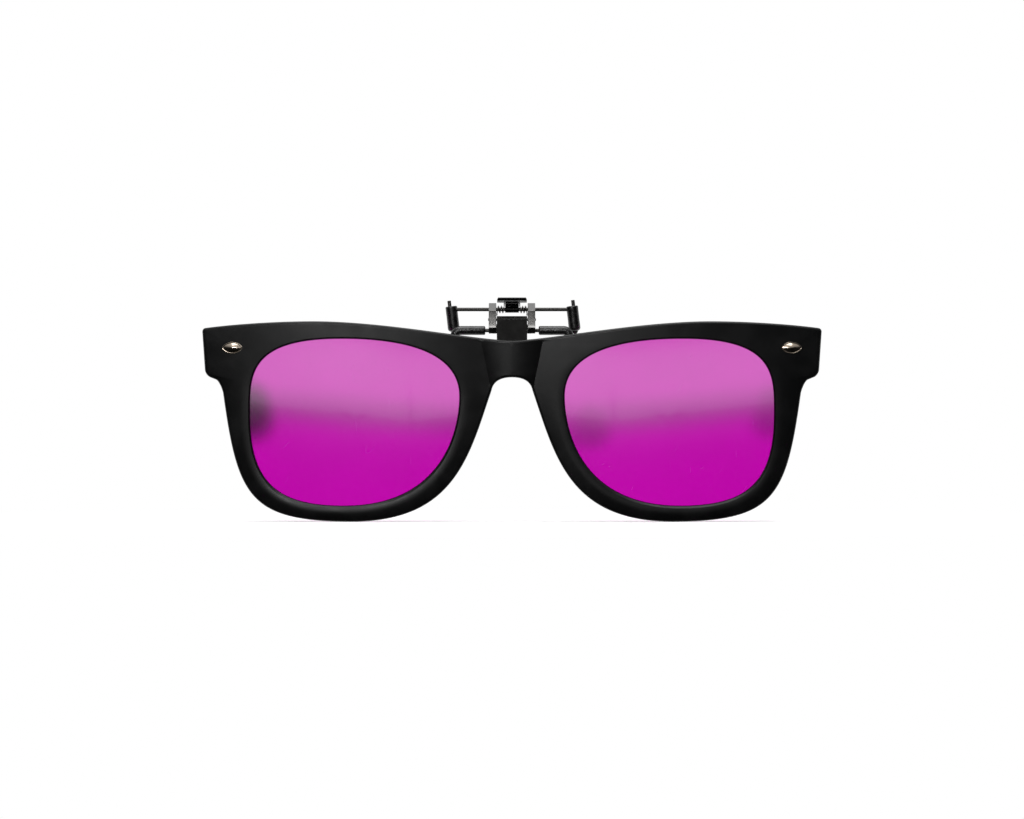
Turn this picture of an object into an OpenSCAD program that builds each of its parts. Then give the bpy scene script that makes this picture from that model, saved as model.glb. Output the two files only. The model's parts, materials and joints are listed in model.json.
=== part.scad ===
// Flip-up clip-on glasses: a moulded front with two tinted lenses on a sprung clamp.
// Sizes are in millimetres. The front faces -Y, the wearer is at +Y and Z is up.
// The origin is the seat of the clamp: midway between its front and rear jaws, on the centre plane.
// It is drawn with the clamp shut and the front turned down.

/* [Lenses] */
// Width of a lens opening
lens_w = 48.9; // [44:0.1:54]
// Height of a lens opening
lens_h = 39; // [34:0.1:44]
// Gap between the two lens openings
lens_gap = 24.1; // [21:0.1:28]
// Thickness of a lens
lens_t = 1.1; // [0.8:0.05:1.3]
// Depth of the lens groove in the rims
groove_d = 0.7; // [0.4:0.05:1]
// Set-back of the lens face behind the rim face
lens_set = 0.65; // [0.5:0.05:0.8]
// Play between a lens and its groove, on each side
lens_play = 0.06; // [0.03:0.01:0.1]

/* [Front frame] */
// Half of the width across the end pieces
half_w = 72.1; // [70:0.1:76]
// Rise of the frame's highest line over the clamp seat
crest_z = 2.25; // [2:0.05:2.6]
// Height of the rim over the lens openings
rim_top = 3.9; // [3:0.1:5]
// Height of the rim under the lens openings
rim_bottom = 3.55; // [2.6:0.05:5]
// Width of the rim at the side, just under the end piece
rim_side = 6.35; // [5:0.05:7.5]
// Thickness of the rims, front to back
rim_t = 2.5; // [2.3:0.05:3.2]
// Height of an end piece at its outer side
end_h = 10.9; // [9:0.1:12]
// Rounding of an end piece's upper corner
end_corner_r = 0.8; // [0.5:0.1:1.2]
// Rounding of an end piece's lower corner
end_foot_r = 1.3; // [0.7:0.1:1.8]
// Height of the hollow corner under an end piece
under_h = 3.1; // [2:0.1:4]
// Drop of the end piece's upper corner below the highest line of the frame
end_droop = 1.6; // [1:0.05:2.4]
// Drop of the bridge's upper edge below the highest line of the frame
bridge_drop = 4.45; // [3.6:0.05:5.2]
// Height of the bridge on the centre plane
bridge_h = 8.55; // [7.5:0.05:10]
// Half of the width of the nose arch where its sides begin
arch_half_w = 4.75; // [4:0.05:5.5]
// Height of the rounded top of the nose arch
arch_h = 3.05; // [2.4:0.05:4]
// Forward swell of the bridge facet between its two creases
bridge_swell = 0.5; // [0.3:0.05:0.8]
// Distance of each bridge crease from the centre plane at the upper edge
crease_x = 7.2; // [6:0.1:8.5]
// Lean of each bridge crease towards the centre plane, in degrees
crease_lean = 11.6; // [8:0.1:14]
// Radius of the face of each rim, seen from above
face_r = 190; // [150:5:260]
// Radius of the face of each rim, seen from the side
face_side_r = 500; // [400:10:800]
// Distance of the foremost line of each rim from the centre plane
face_x = 28; // [24:0.5:32]
// Rounding of the outer front edges
front_round = 0.6; // [0.3:0.05:0.8]
// Rounding of the outer back edges
back_round = 0.5; // [0.3:0.05:0.7]
// Width of the bevel round the face of the lens openings
bevel_w = 0.6; // [0.3:0.05:0.8]
// Depth of the bevel round the face of the lens openings
bevel_d = 0.35; // [0.2:0.05:0.4]
// Bevel round the back of the lens openings
back_bevel = 0.15; // [0.1:0.05:0.3]

/* [Studs] */
// Distance of a stud's centre from the outer side of the end piece
stud_inset = 7.2; // [5.5:0.1:8]
// Depth of the studs below the highest line of the frame
stud_drop = 6.15; // [5:0.05:7]
// Length of a stud
stud_w = 4.8; // [4:0.1:5.6]
// Height of a stud
stud_h = 2.7; // [2.2:0.1:3.4]
// How far a stud's ends are drawn out: 1 is a plain oval
stud_point = 1.25; // [1:0.05:1.4]
// Rise of a stud's middle over its seat
stud_rise = 0.85; // [0.6:0.05:1.1]
// Width of the flat rim round a stud
stud_rim = 0.2; // [0.1:0.05:0.3]
// Height of a stud's rim over its seat
stud_rim_h = 0.35; // [0.25:0.05:0.5]
// Bevel of a stud's rim
stud_rim_edge = 0.05; // [0.02:0.01:0.08]
// Width and depth of the groove inside a stud's rim
stud_groove = 0.06; // [0.02:0.01:0.1]
// Depth of a stud's seat in the frame
stud_seat = 0.2; // [0.1:0.05:0.35]
// Radius of a stud's shank
stud_shank_r = 0.6; // [0.4:0.05:0.8]
// Length of a stud's shank behind its seat
stud_shank_l = 1.3; // [1:0.1:1.7]

/* [Flip plate] */
// Width of the flip plate
plate_w = 7.05; // [6.4:0.05:7.6]
// Thickness of the flip plate's sheet
plate_t = 0.4; // [0.35:0.05:0.5]
// Length of the plate that lies on the back of the bridge
plate_hold = 6.8; // [6:0.1:7.4]
// Radius of the plate's lower corners
plate_corner_r = 1.5; // [0.8:0.1:2.2]
// Depth of the plate's recess in the bridge
plate_recess = 0.35; // [0.3:0.05:0.5]
// Outer radius of the rolled knuckle
knuckle_r = 0.78; // [0.74:0.02:0.86]
// Radius of the flip pin
flip_pin_r = 0.35; // [0.28:0.01:0.38]
// Stand-out of the flip pin's ends beyond the lugs
pin_stand = 0.15; // [0.05:0.05:0.3]
// Height of the flip pin over the clamp seat
flip_z = 2.7; // [2.5:0.05:3]
// Drop of the upper screw below the bridge's upper edge
screw_drop = 2.1; // [1.6:0.1:2.6]
// Distance between the two screws
screw_pitch = 2.9; // [2.4:0.1:3.4]
// Radius of a screw's shank
screw_r = 0.45; // [0.35:0.01:0.55]
// Length of a screw's shank in the bridge
screw_l = 1.7; // [1.2:0.1:2]
// Radius of a screw's head
screw_head_r = 0.95; // [0.8:0.05:1.1]
// Height of a screw's head
screw_head_h = 0.45; // [0.3:0.05:0.6]

/* [Clip body] */
// Thickness of a lug
lug_t = 1.75; // [1.4:0.05:2.2]
// Distance from the clamp seat forward to the back of the bridge
front_offset = 4.2; // [4:0.05:5]
// Depth of the body's lower edge below the clamp seat
body_drop = 0.55; // [0.5:0.05:0.7]
// Height of the block that joins the lugs, over the clamp seat
block_top = 1.55; // [1.3:0.05:1.6]
// Wall of a lug in front of the flip pin
lug_wall = 0.95; // [0.8:0.05:1.2]
// Height of the lug's front face over the clamp seat
lug_front_top = 4.8; // [4.2:0.1:5]
// Radius of the lug's eye round the claw axle
eye_r = 1.5; // [1.2:0.05:1.6]
// Forward step of the foot under each lug's front face
foot_step = 0.5; // [0.3:0.05:0.7]
// Height of the foot's front face over the clamp seat
foot_top = 0.8; // [0.6:0.05:1]

/* [Claws] */
// Radius of the claw wires
wire_r = 0.425; // [0.38:0.005:0.45]
// Gap between the closed jaws
jaw_gap = 0.4; // [0.2:0.05:0.8]
// Height of the front claw wire over the clamp seat
front_wire_z = 0.17; // [0:0.01:0.3]
// Distance of a front claw's leg from the centre plane
front_claw_x = 13.3; // [12:0.1:14]
// Radius of the front claw's bends
front_bend_r = 1.3; // [1.25:0.05:1.8]
// Length of a front claw's leg below the bar
front_leg = 4.6; // [3.4:0.1:6]
// Radius of the front claw's sleeves
front_sleeve_r = 1.05; // [0.95:0.05:1.1]
// Gap between a front sleeve and the clip body
front_sleeve_gap = 0.8; // [0.4:0.1:1.2]
// Rubber beyond the end of a front claw's wire
sleeve_tip = 0.6; // [0.4:0.1:0.9]
// Height of the claw axle over the clamp seat
axle_z = 5.1; // [5:0.05:5.4]
// Distance of a rear claw from the centre plane, at the axle
rear_claw_x = 13.75; // [12.8:0.05:14.6]
// Radius of the bend from the axle into a rear claw
rear_bend_r = 0.7; // [0.6:0.05:0.8]
// Radius of the hairpin turn at the foot of a rear claw
hairpin_r = 0.475; // [0.46:0.005:0.52]
// Drop of the hairpin turns below the axle
hairpin_drop = 4.9; // [4.4:0.1:5.4]
// Rise of the free wire ends over the axle
tip_rise = 1.9; // [1.2:0.1:2.4]
// Turn of the hairpins towards the back, in degrees
hairpin_twist = 45; // [35:1:55]
// Sideways lean of both rear claws, in degrees
claw_lean = 6.6; // [0:0.1:8]
// Radius of the rear claws' sleeves
rear_sleeve_r = 1.25; // [1.2:0.05:1.4]
// Rise of a rear sleeve's upper end over the axle
rear_sleeve_rise = 0.45; // [0.2:0.05:0.8]
// Drop of a rear sleeve's lower end below the axle
rear_sleeve_drop = 5.1; // [4.6:0.1:5.3]
// Rounding of a rear sleeve's upper edge
sleeve_round = 0.3; // [0.2:0.05:0.4]
// Rounding of a rear sleeve's foot
sleeve_foot_r = 0.8; // [0.4:0.05:1]

/* [Thumb lever] */
// Width of the lever's thumb plate
lever_w = 6.9; // [6:0.1:7]
// Thickness of the lever's sheet
lever_t = 0.45; // [0.35:0.05:0.55]
// Reach of the thumb plate in front of the axle
lever_reach = 6.9; // [6:0.1:8]
// Rise of the thumb plate's root over the axle
lever_rise = 1.75; // [1.7:0.05:2]
// Rise of the thumb plate from its root to its lip
lever_slope = 0.4; // [0.2:0.05:0.8]
// Radius of the bend from the barrel into the thumb plate
lever_bend = 0.6; // [0.4:0.05:0.8]
// Radius of the thumb plate's front corners
lever_corner_r = 1; // [0.5:0.1:1.5]
// Height of the lip at the thumb plate's front
lip_h = 0.45; // [0.3:0.05:0.7]
// Width of the lever's barrel on the axle
barrel_w = 3.2; // [2.8:0.1:3.3]
// Outer radius of the barrel
barrel_r = 0.75; // [0.68:0.01:0.85]

/* [Clamp spring] */
// Radius of the spring wire
spring_wire_r = 0.13; // [0.1:0.005:0.135]
// Radius of the coils, to the middle of the wire
coil_r = 0.785; // [0.72:0.005:0.85]
// Full turns in each coil, besides the part turn between its legs
coil_turns = 2; // [1:1:2]
// Reach of the spring's middle loop in front of the axle
loop_reach = 2.7; // [2:0.1:3.2]
// Size of the two bends of the middle loop
loop_bend = 0.4; // [0.3:0.05:0.6]

/* [Fits] */
// Clearance between a lug and the flip plate, on each side
lug_gap = 0.125; // [0.08:0.005:0.2]
// Running clearance of a pin or axle in its bore, on the radius
run_fit = 0.03; // [0.02:0.005:0.06]
// Clearance of a wire, pin or shank that is held fast, on the radius
fast_fit = 0.01; // [0.005:0.005:0.02]
// Clearance between parts that move past each other
move_gap = 0.3; // [0.2:0.01:0.35]
// Clearance of a part lying in a recess
seat_gap = 0.08; // [0.04:0.01:0.12]

/* [Hidden] */
round_fn = 48;
nothing = 0.01;
up = [0, 1];
down = [0, -1];
left = [-1, 0];
right = [1, 0];

black_plastic = [0.07, 0.07, 0.075];
tinted = [0.78, 0.1, 0.7];
gun_metal = [0.25, 0.24, 0.24];
bright_steel = [0.75, 0.71, 0.67];
rubber = [0.05, 0.05, 0.05];

// Heights and places that the frame's outline hangs on
open_x = lens_gap / 2;
open_far_x = open_x + lens_w;
open_top_z = crest_z - rim_top;
open_low_z = open_top_z - lens_h;
lens_z = (open_top_z + open_low_z) / 2;
frame_low_z = open_low_z - rim_bottom;
bridge_top_z = crest_z - bridge_drop;
arch_top_z = bridge_top_z - bridge_h;
end_top_z = crest_z - end_droop;
end_low_z = end_top_z - end_h;
side_x = open_far_x + rim_side;

// Points of a cubic curve through its end points a and d, with handles b and c
function curve(c, t) =
    pow(1 - t, 3) * c[0] + 3 * pow(1 - t, 2) * t * c[1] + 3 * (1 - t) * t * t * c[2] + pow(t, 3) * c[3];
function slope(c, t) =
    pow(1 - t, 2) * (c[1] - c[0]) + 2 * (1 - t) * t * (c[2] - c[1]) + t * t * (c[3] - c[2]);
function unit(v) = v / norm(v);
function between(a, b, share) = a + (b - a) * share;
// The outward side of a line that runs clockwise, as the front shows it
function outward(v) = unit([-v[1], v[0]]);
function straight(a, b) = [a, a + (b - a) / 3, b - (b - a) / 3, b];
// A corner rounded between the points a and b on its two sides
corner_share = 0.55;
soft = 1 - sqrt(0.5);
function bend(a, corner, b) = [a, a + (corner - a) * corner_share, b + (corner - b) * corner_share, b];
// A free curve from a, leaving along u by the handle m, to b, arriving along v by the handle n
function sweep(a, u, m, b, v, n) = [a, a + m * unit(u), b - n * unit(v), b];

// Lens opening, right eye: four curves between its nose, top, temple and bottom points
nose_pt = [open_x, lens_z + 0.155 * lens_h];
top_pt = [open_x + 0.565 * lens_w, open_top_z];
temple_pt = [open_far_x, lens_z + 0.05 * lens_h];
low_pt = [open_x + 0.55 * lens_w, open_low_z];
opening = [
    sweep(nose_pt, up, 0.313 * lens_h, top_pt, right, 0.2 * lens_w),
    sweep(top_pt, right, 0.444 * lens_w, temple_pt, down, 0.228 * lens_h),
    sweep(temple_pt, down, 0.423 * lens_h, low_pt, left, 0.311 * lens_w),
    sweep(low_pt, left, 0.473 * lens_w, nose_pt, up, 0.202 * lens_h)
];

// Outer outline, right half, clockwise from the bridge's upper edge
bridge_top = [0, bridge_top_z];
crest = [open_x + 0.7 * lens_w, crest_z];
end_top = [half_w, end_top_z];
end_low = [half_w - 0.07 * end_h, end_low_z];
end_way = [1, -0.13];
under_pt = [side_x + 1.5, end_low_z - 0.09 * end_h];
side_pt = [side_x - 0.2, under_pt[1] - under_h];
side_way = [-0.14, -1];
low_mid = [low_pt[0] - 0.035 * lens_w, frame_low_z];
arch_pt = [arch_half_w, arch_top_z - arch_h];
arch_way = [-0.34, 1];
arch_top = [0, arch_top_z];
end_top_in = end_top - end_corner_r * unit(end_way);
end_top_down = end_top + end_corner_r * unit(end_low - end_top);
end_low_up = end_low - end_foot_r * unit(end_low - end_top);
end_low_in = end_low + end_foot_r * unit(under_pt - end_low);
under_in = between(under_pt, side_pt, 0.3) + under_h * [-0.16, 0.2];

// Each run of the outline: its curve, its steps, and the stretch of the lens opening beside it
runs = [
    [sweep(bridge_top, right, 0.16 * lens_w, crest, right, 0.35 * lens_w), 18, 0.36, 1.2],
    [sweep(crest, right, 0.16 * lens_w, end_top_in, end_way, 0.15 * lens_w), 8, 1.2, 1.5],
    [bend(end_top_in, end_top, end_top_down), 3, 1.5, 1.54],
    [straight(end_top_down, end_low_up), 4, 1.54, 1.7],
    [bend(end_low_up, end_low, end_low_in), 3, 1.7, 1.73],
    [straight(end_low_in, under_pt), 1, 1.73, 1.75],
    [bend(under_pt, under_in, side_pt), 4, 1.75, 1.9],
    [sweep(side_pt, side_way, 0.625 * lens_h, low_mid, left, 0.49 * lens_w), 24, 1.9, 3.03],
    [sweep(low_mid, left, 0.493 * lens_w, arch_pt, arch_way, 0.413 * lens_h), 22, 3.03, 3.93],
    [sweep(arch_pt, [-0.2, 1], 0.33 * arch_h, arch_top, left, 0.82 * arch_half_w), 6, 3.93, 4.17],
    [straight(arch_top, bridge_top), 5, 4.17, 4.36]
];
mid_run = len(runs) - 1;

// One station on every step: outer point, its outward side, opening point, its outward side
function opening_at(s) =
    let (k = floor(s) % 4, t = s - floor(s))
        [curve(opening[k], t), slope(opening[k], t)];
stations = [
    for (r = [0:len(runs) - 1])
        for (i = [0:runs[r][1] - 1])
            let (
                t = i / runs[r][1],
                side = r < mid_run ? outward(slope(runs[r][0], t)) : i == 0 ? down : [0, 0],
                inner = opening_at(runs[r][2] + (runs[r][3] - runs[r][2]) * t)
            )
                [
                    curve(runs[r][0], t),
                    side,
                    inner[0],
                    outward(inner[1])
                ]
];
count = len(stations);
mid_first = count - runs[mid_run][1];

// Face of the frame: a shallow dome over each eye, and a swelled facet between the bridge creases
function crease_at(z) = crease_x - (bridge_top_z - z) * tan(crease_lean);
function dome(x, z) = pow(x - face_x, 2) / (2 * face_r) + pow(z - lens_z, 2) / (2 * face_side_r);
bridge_mid_z = (bridge_top_z + arch_top_z) / 2;
face_front_y = -front_offset - rim_t - dome(crease_at(bridge_mid_z), bridge_mid_z);
function face_y(x, z) =
    let (edge = crease_at(z))
        face_front_y + dome(max(x, edge), z) - (x < edge ? bridge_swell * (1 - pow(x / edge, 2)) : 0);
function back_y(x, z) = face_front_y + dome(max(x, crease_at(z)), z) + rim_t;
function lens_y(x, z) = face_front_y + dome(x, z) + lens_set;
function on_face(p, back = 0) = [p[0], face_y(p[0], p[1]) + back, p[1]];
function on_back(p, forward = 0) = [p[0], back_y(p[0], p[1]) - forward, p[1]];
function on_lens(p, back) = [p[0], lens_y(p[0], p[1]) + back, p[1]];

// Share of the way from opening to outline at which the bridge crease is met
function crease_share(inner, outer) =
    let (
        a = inner[0] - crease_at(inner[1]),
        b = outer[0] - crease_at(outer[1])
    )
        b < 0 ? min(0.88, a / (a - b)) : max(0.4, 0.88 - 0.1 * b);

// The closed section of the rim at one station, from the lens opening round the back to the face
function rim_section(st) =
    let (
        outer = st[0],
        out_side = st[1],
        inner = st[2],
        in_side = st[3],
        bed = inner + in_side * groove_d,
        face_in = inner + in_side * bevel_w,
        face_out = outer - out_side * front_round,
        back_in = inner + in_side * back_bevel,
        back_out = outer - out_side * back_round,
        share = crease_share(face_in, face_out)
    )
        [
            on_face(face_in),
            on_face(inner, bevel_d),
            on_lens(inner, -lens_play),
            on_lens(bed, -lens_play),
            on_lens(bed, lens_t + lens_play),
            on_lens(inner, lens_t + lens_play),
            on_back(inner, back_bevel),
            on_back(back_in),
            on_back(between(back_in, back_out, share)),
            on_back(back_out),
            on_back(outer, back_round),
            on_face(outer, front_round),
            on_face(outer - out_side * front_round * soft, front_round * soft),
            on_face(face_out),
            on_face(between(face_in, face_out, share + (1 - share) * 0.7)),
            on_face(between(face_in, face_out, share + (1 - share) * 0.35)),
            on_face(between(face_in, face_out, share))
        ];
sections = [for (st = stations) rim_section(st)];
size = len(sections[0]);
seam_first = 9;
seam_last = 13;

// Both eyes share the points that lie on the centre plane
function on_seam(k, j) = (k == 0 || k >= mid_first) && j >= seam_first && j <= seam_last;
function corner(eye, k, j) =
    let (kk = k % count, jj = j % size)
        (on_seam(kk, jj) ? 0 : eye * count * size) + kk * size + jj;
function inside_seam(k, j) = k >= mid_first && j >= seam_first && j < seam_last;
function split(a, b, c, d) = [[a, b, c], [a, c, d]];
function flip_if(yes, f) = yes ? [f[2], f[1], f[0]] : f;

module frame_shell() {
    right_half = [for (s = sections) for (p = s) p];
    left_half = [for (p = right_half) [-p[0], p[1], p[2]]];
    faces = [
        for (eye = [0, 1])
            for (k = [0:count - 1])
                for (j = [0:size - 1])
                    if (!inside_seam(k, j))
                        let (
                            a = corner(eye, k, j),
                            b = corner(eye, k + 1, j),
                            c = corner(eye, k + 1, j + 1),
                            d = corner(eye, k, j + 1)
                        )
                            for (f = split(a, b, c, d)) flip_if(eye == 1, f)
    ];
    polyhedron(points = concat(right_half, left_half), faces = faces, convexity = 10);
}

// A closed skin over a stack of rings, with a point at the middle of each end
function middle(ring) = [for (p = ring) 1] * ring / len(ring);
module skin(rings, first_mid = undef, last_mid = undef) {
    n = len(rings[0]);
    last = len(rings) - 1;
    mids = [
        is_undef(first_mid) ? middle(rings[0]) : first_mid,
        is_undef(last_mid) ? middle(rings[last]) : last_mid
    ];
    points = concat([for (r = rings) for (p = r) p], mids);
    walls = [
        for (k = [0:last - 1])
            for (i = [0:n - 1])
                for (f = split(k * n + i, (k + 1) * n + i, (k + 1) * n + (i + 1) % n, k * n + (i + 1) % n))
                    f
    ];
    first_end = [for (i = [0:n - 1]) [i, (i + 1) % n, (last + 1) * n]];
    last_end = [for (i = [0:n - 1]) [last * n + (i + 1) % n, last * n + i, (last + 1) * n + 1]];
    polyhedron(points = points, faces = concat(walls, first_end, last_end), convexity = 6);
}

// Helpers that lay cylinders and outlines along the axes
module along_x(r, length) {
    rotate([0, 90, 0]) cylinder(r = r, h = length, center = true, $fn = round_fn);
}
module along_y(r, from, to) {
    translate([0, to, 0]) rotate([90, 0, 0]) cylinder(r = r, h = to - from, $fn = round_fn);
}
module sheet_y(from, to) {
    translate([0, to, 0]) rotate([90, 0, 0]) linear_extrude(to - from) children();
}
module sheet_x(from, to) {
    translate([from, 0, 0]) rotate([90, 0, 90]) linear_extrude(to - from) children();
}

// Places of the hinge, the screws and the plate
floor_y = -front_offset - plate_recess;
flip_y = floor_y + knuckle_r;
plate_low_z = bridge_top_z - plate_hold;
screw_z = [bridge_top_z - screw_drop, bridge_top_z - screw_drop - screw_pitch];

module plate_outline(grow, top_z) {
    r = plate_corner_r + grow;
    w = plate_w / 2 + grow;
    low = plate_low_z - grow;
    translate([-w, low + r]) square([2 * w, top_z - low - r]);
    translate([-w + r, low]) square([2 * (w - r), r + nothing]);
    for (side = [-1, 1]) translate([side * (w - r), low + r]) circle(r = r, $fn = round_fn);
}

// Studs stand square to the frame's face
stud_x = half_w - stud_inset;
stud_z = crest_z - stud_drop;
stud_turn = atan((stud_x - face_x) / face_r);
stud_tip = atan((stud_z - lens_z) / face_side_r);
module at_stud(side) {
    mirror([side < 0 ? 1 : 0, 0, 0])
        translate([stud_x, face_y(stud_x, stud_z), stud_z])
            rotate([-stud_tip, 0, stud_turn])
                children();
}
// An oval with drawn-out ends, smaller by an inset all round
function stud_ring(inset, y, n = 40) =
    [
        for (i = [0:n - 1])
            let (a = 360 * i / n, rise = sign(sin(a)) * pow(abs(sin(a)), stud_point))
                [(stud_w / 2 - inset) * cos(a), y, (stud_h / 2 - inset) * rise]
    ];

module stud_socket() {
    skin([stud_ring(-seat_gap, stud_seat), stud_ring(-seat_gap, -1)]);
    along_y(stud_shank_r + fast_fit, 0, stud_seat + stud_shank_l + seat_gap);
}

module front_frame() {
    color(black_plastic) difference() {
        frame_shell();
        sheet_y(floor_y, 0) plate_outline(seat_gap, crest_z);
        for (z = screw_z)
            translate([0, 0, z]) along_y(screw_r + fast_fit, floor_y - screw_l - seat_gap, 0);
        for (side = [-1, 1]) at_stud(side) stud_socket();
    }
}

// A lens: the opening grown into the groove, domed like the face
lens_steps = [1, 0.92, 0.66, 0.33];
module lens(side) {
    hub = [(nose_pt[0] + temple_pt[0]) / 2, lens_z];
    edge = [for (st = stations) st[2] + st[3] * (groove_d - lens_play)];
    function ring(share, depth) = [for (p = edge) on_lens(between(hub, p, share), depth)];
    front = [for (i = [len(lens_steps) - 1:-1:0]) ring(lens_steps[i], 0)];
    back = [for (share = lens_steps) ring(share, lens_t)];
    color(tinted) mirror([side < 0 ? 1 : 0, 0, 0])
        skin(concat(front, back), on_lens(hub, 0), on_lens(hub, lens_t));
}

// A stud rises from the groove inside its rim: share of the way to the middle, share of the rise there
stud_steps = [[0, 0], [0.06, 0.12], [0.3, 0.42], [0.6, 0.75], [0.85, 0.94]];
module stud(side) {
    rim_y = stud_seat - stud_rim_h;
    well = stud_rim + stud_groove;
    well_y = rim_y + stud_groove;
    tip_y = stud_seat - stud_rise;
    function dome_ring(s) =
        let (keep = 1 - s[0])
            [for (p = stud_ring(well, 0)) [p[0] * keep, well_y + (tip_y - well_y) * s[1], p[2] * keep]];
    color(bright_steel) at_stud(side) {
        skin(
            concat(
                [
                    stud_ring(0, stud_seat),
                    stud_ring(0, rim_y + stud_rim_edge),
                    stud_ring(stud_rim_edge, rim_y),
                    stud_ring(stud_rim, rim_y)
                ],
                [for (s = stud_steps) dome_ring(s)]
            ),
            undef,
            [0, tip_y, 0]
        );
        along_y(stud_shank_r, stud_seat - nothing, stud_seat + stud_shank_l);
    }
}

module at_flip() translate([0, flip_y, flip_z]) children();

module flip_plate() {
    color(gun_metal) difference() {
        union() {
            at_flip() along_x(knuckle_r, plate_w);
            sheet_y(floor_y, floor_y + plate_t) plate_outline(0, flip_z);
        }
        at_flip() along_x(flip_pin_r + run_fit, plate_w + 1);
        for (z = screw_z) translate([0, 0, z]) along_y(screw_r + seat_gap, floor_y - 1, floor_y + 1);
    }
}

module plate_screw(z) {
    slot_w = screw_r * 0.6;
    head_y = floor_y + plate_t;
    color(bright_steel) translate([0, 0, z]) difference() {
        union() {
            along_y(screw_r, floor_y - screw_l, head_y + nothing);
            along_y(screw_head_r, head_y, head_y + screw_head_h);
        }
        translate([0, head_y + screw_head_h, 0])
            for (turn = [0, 90])
                rotate([0, turn, 0]) cube([screw_head_r * 1.3, screw_head_h, slot_w], center = true);
    }
}

// Places of the wires
lug_in_x = plate_w / 2 + lug_gap;
body_w = 2 * (lug_in_x + lug_t);
front_wire_y = -jaw_gap / 2 - front_sleeve_r;
axle_y = jaw_gap / 2 + rear_sleeve_r - hairpin_r * sin(hairpin_twist);
lug_front_y = flip_y - lug_wall;
seat_back_y = -jaw_gap / 2;

module at_axle() translate([0, axle_y, axle_z]) children();

// The side view of a lug, with Y across and Z up
module lug_outline() {
    eye = [axle_y, axle_z];
    top = eye + eye_r * 0.99 * [cos(112), sin(112)];
    back = eye + eye_r * 0.99 * [cos(-55), sin(-55)];
    polygon([
        [lug_front_y - foot_step, -body_drop],
        [lug_front_y - foot_step, foot_top],
        [lug_front_y, foot_top + foot_step],
        [lug_front_y, lug_front_top],
        top,
        eye,
        back,
        [seat_back_y, axle_z - eye_r * 1.9],
        [seat_back_y, -body_drop]
    ]);
    translate(eye) circle(r = eye_r, $fn = round_fn);
}

module clip_body() {
    block_front_y = floor_y + plate_t + move_gap;
    color(gun_metal) difference() {
        union() {
            for (side = [0, 1]) mirror([side, 0, 0]) sheet_x(lug_in_x, body_w / 2) lug_outline();
            translate([-body_w / 2, block_front_y, -body_drop])
                cube([body_w, seat_back_y - block_front_y, block_top + body_drop]);
        }
        at_axle() along_x(wire_r + run_fit, body_w + 1);
        at_flip() along_x(flip_pin_r + fast_fit, body_w + 1);
        translate([0, front_wire_y, front_wire_z]) along_x(wire_r + fast_fit, body_w + 1);
    }
}

// A wire that follows its runs: length, roll about itself, bend radius, bend angle
module bent_wire(r, steps, i = 0) {
    step = steps[i];
    rotate([0, 90, 0]) cylinder(r = r, h = step[0], $fn = round_fn);
    translate([step[0], 0, 0]) rotate([step[1], 0, 0]) {
        if (step[3] > 0)
            translate([0, step[2], 0]) rotate([0, 0, -90])
                rotate_extrude(angle = step[3], $fn = 2 * round_fn)
                    translate([step[2], 0]) circle(r = r, $fn = round_fn);
        if (i + 1 < len(steps))
            translate([step[2] * sin(step[3]), step[2] * (1 - cos(step[3])), 0]) rotate([0, 0, step[3]])
                bent_wire(r, steps, i + 1);
    }
}

module flip_pin() {
    color(bright_steel) at_flip() along_x(flip_pin_r, body_w + 2 * pin_stand);
}

module front_claw() {
    color(gun_metal) for (side = [0, 1]) mirror([side, 0, 0])
        translate([0, front_wire_y, front_wire_z])
            bent_wire(wire_r, [
                [front_claw_x - front_bend_r, -90, front_bend_r, 90],
                [front_leg - front_bend_r - sleeve_tip, 0, 0, 0]
            ]);
}

module front_sleeve(side) {
    start = body_w / 2 + front_sleeve_gap;
    color(rubber) mirror([side < 0 ? 1 : 0, 0, 0])
        translate([start, front_wire_y, front_wire_z])
            difference() {
                bent_wire(front_sleeve_r, [
                    [front_claw_x - front_bend_r - start, -90, front_bend_r, 90],
                    [front_leg - front_bend_r, 0, 0, 0]
                ]);
                translate([-1, 0, 0]) bent_wire(wire_r + fast_fit, [
                    [front_claw_x - front_bend_r - start + 1, -90, front_bend_r, 90],
                    [front_leg - front_bend_r - sleeve_tip + fast_fit, 0, 0, 0]
                ]);
            }
}

// The bend of the rear wire is open or tight by the lean of its claw
function rear_turn(side) = 90 - side * claw_lean;
function rear_tangent(side) = rear_bend_r * tan(rear_turn(side) / 2);

module rear_claw() {
    color(gun_metal) at_axle() for (side = [-1, 1]) mirror([side < 0 ? 1 : 0, 0, 0])
        bent_wire(wire_r, [
            [rear_claw_x - rear_tangent(side), -90, rear_bend_r, rear_turn(side)],
            [hairpin_drop - rear_tangent(side), 180 - hairpin_twist, hairpin_r, 180],
            [hairpin_drop + tip_rise, 0, 0, 0]
        ]);
}

// The rear claws hang from the ends of the axle, both leaning the same way
module at_claw(side) at_axle() translate([side * rear_claw_x, 0, 0]) rotate([0, -claw_lean, 0]) children();

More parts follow.
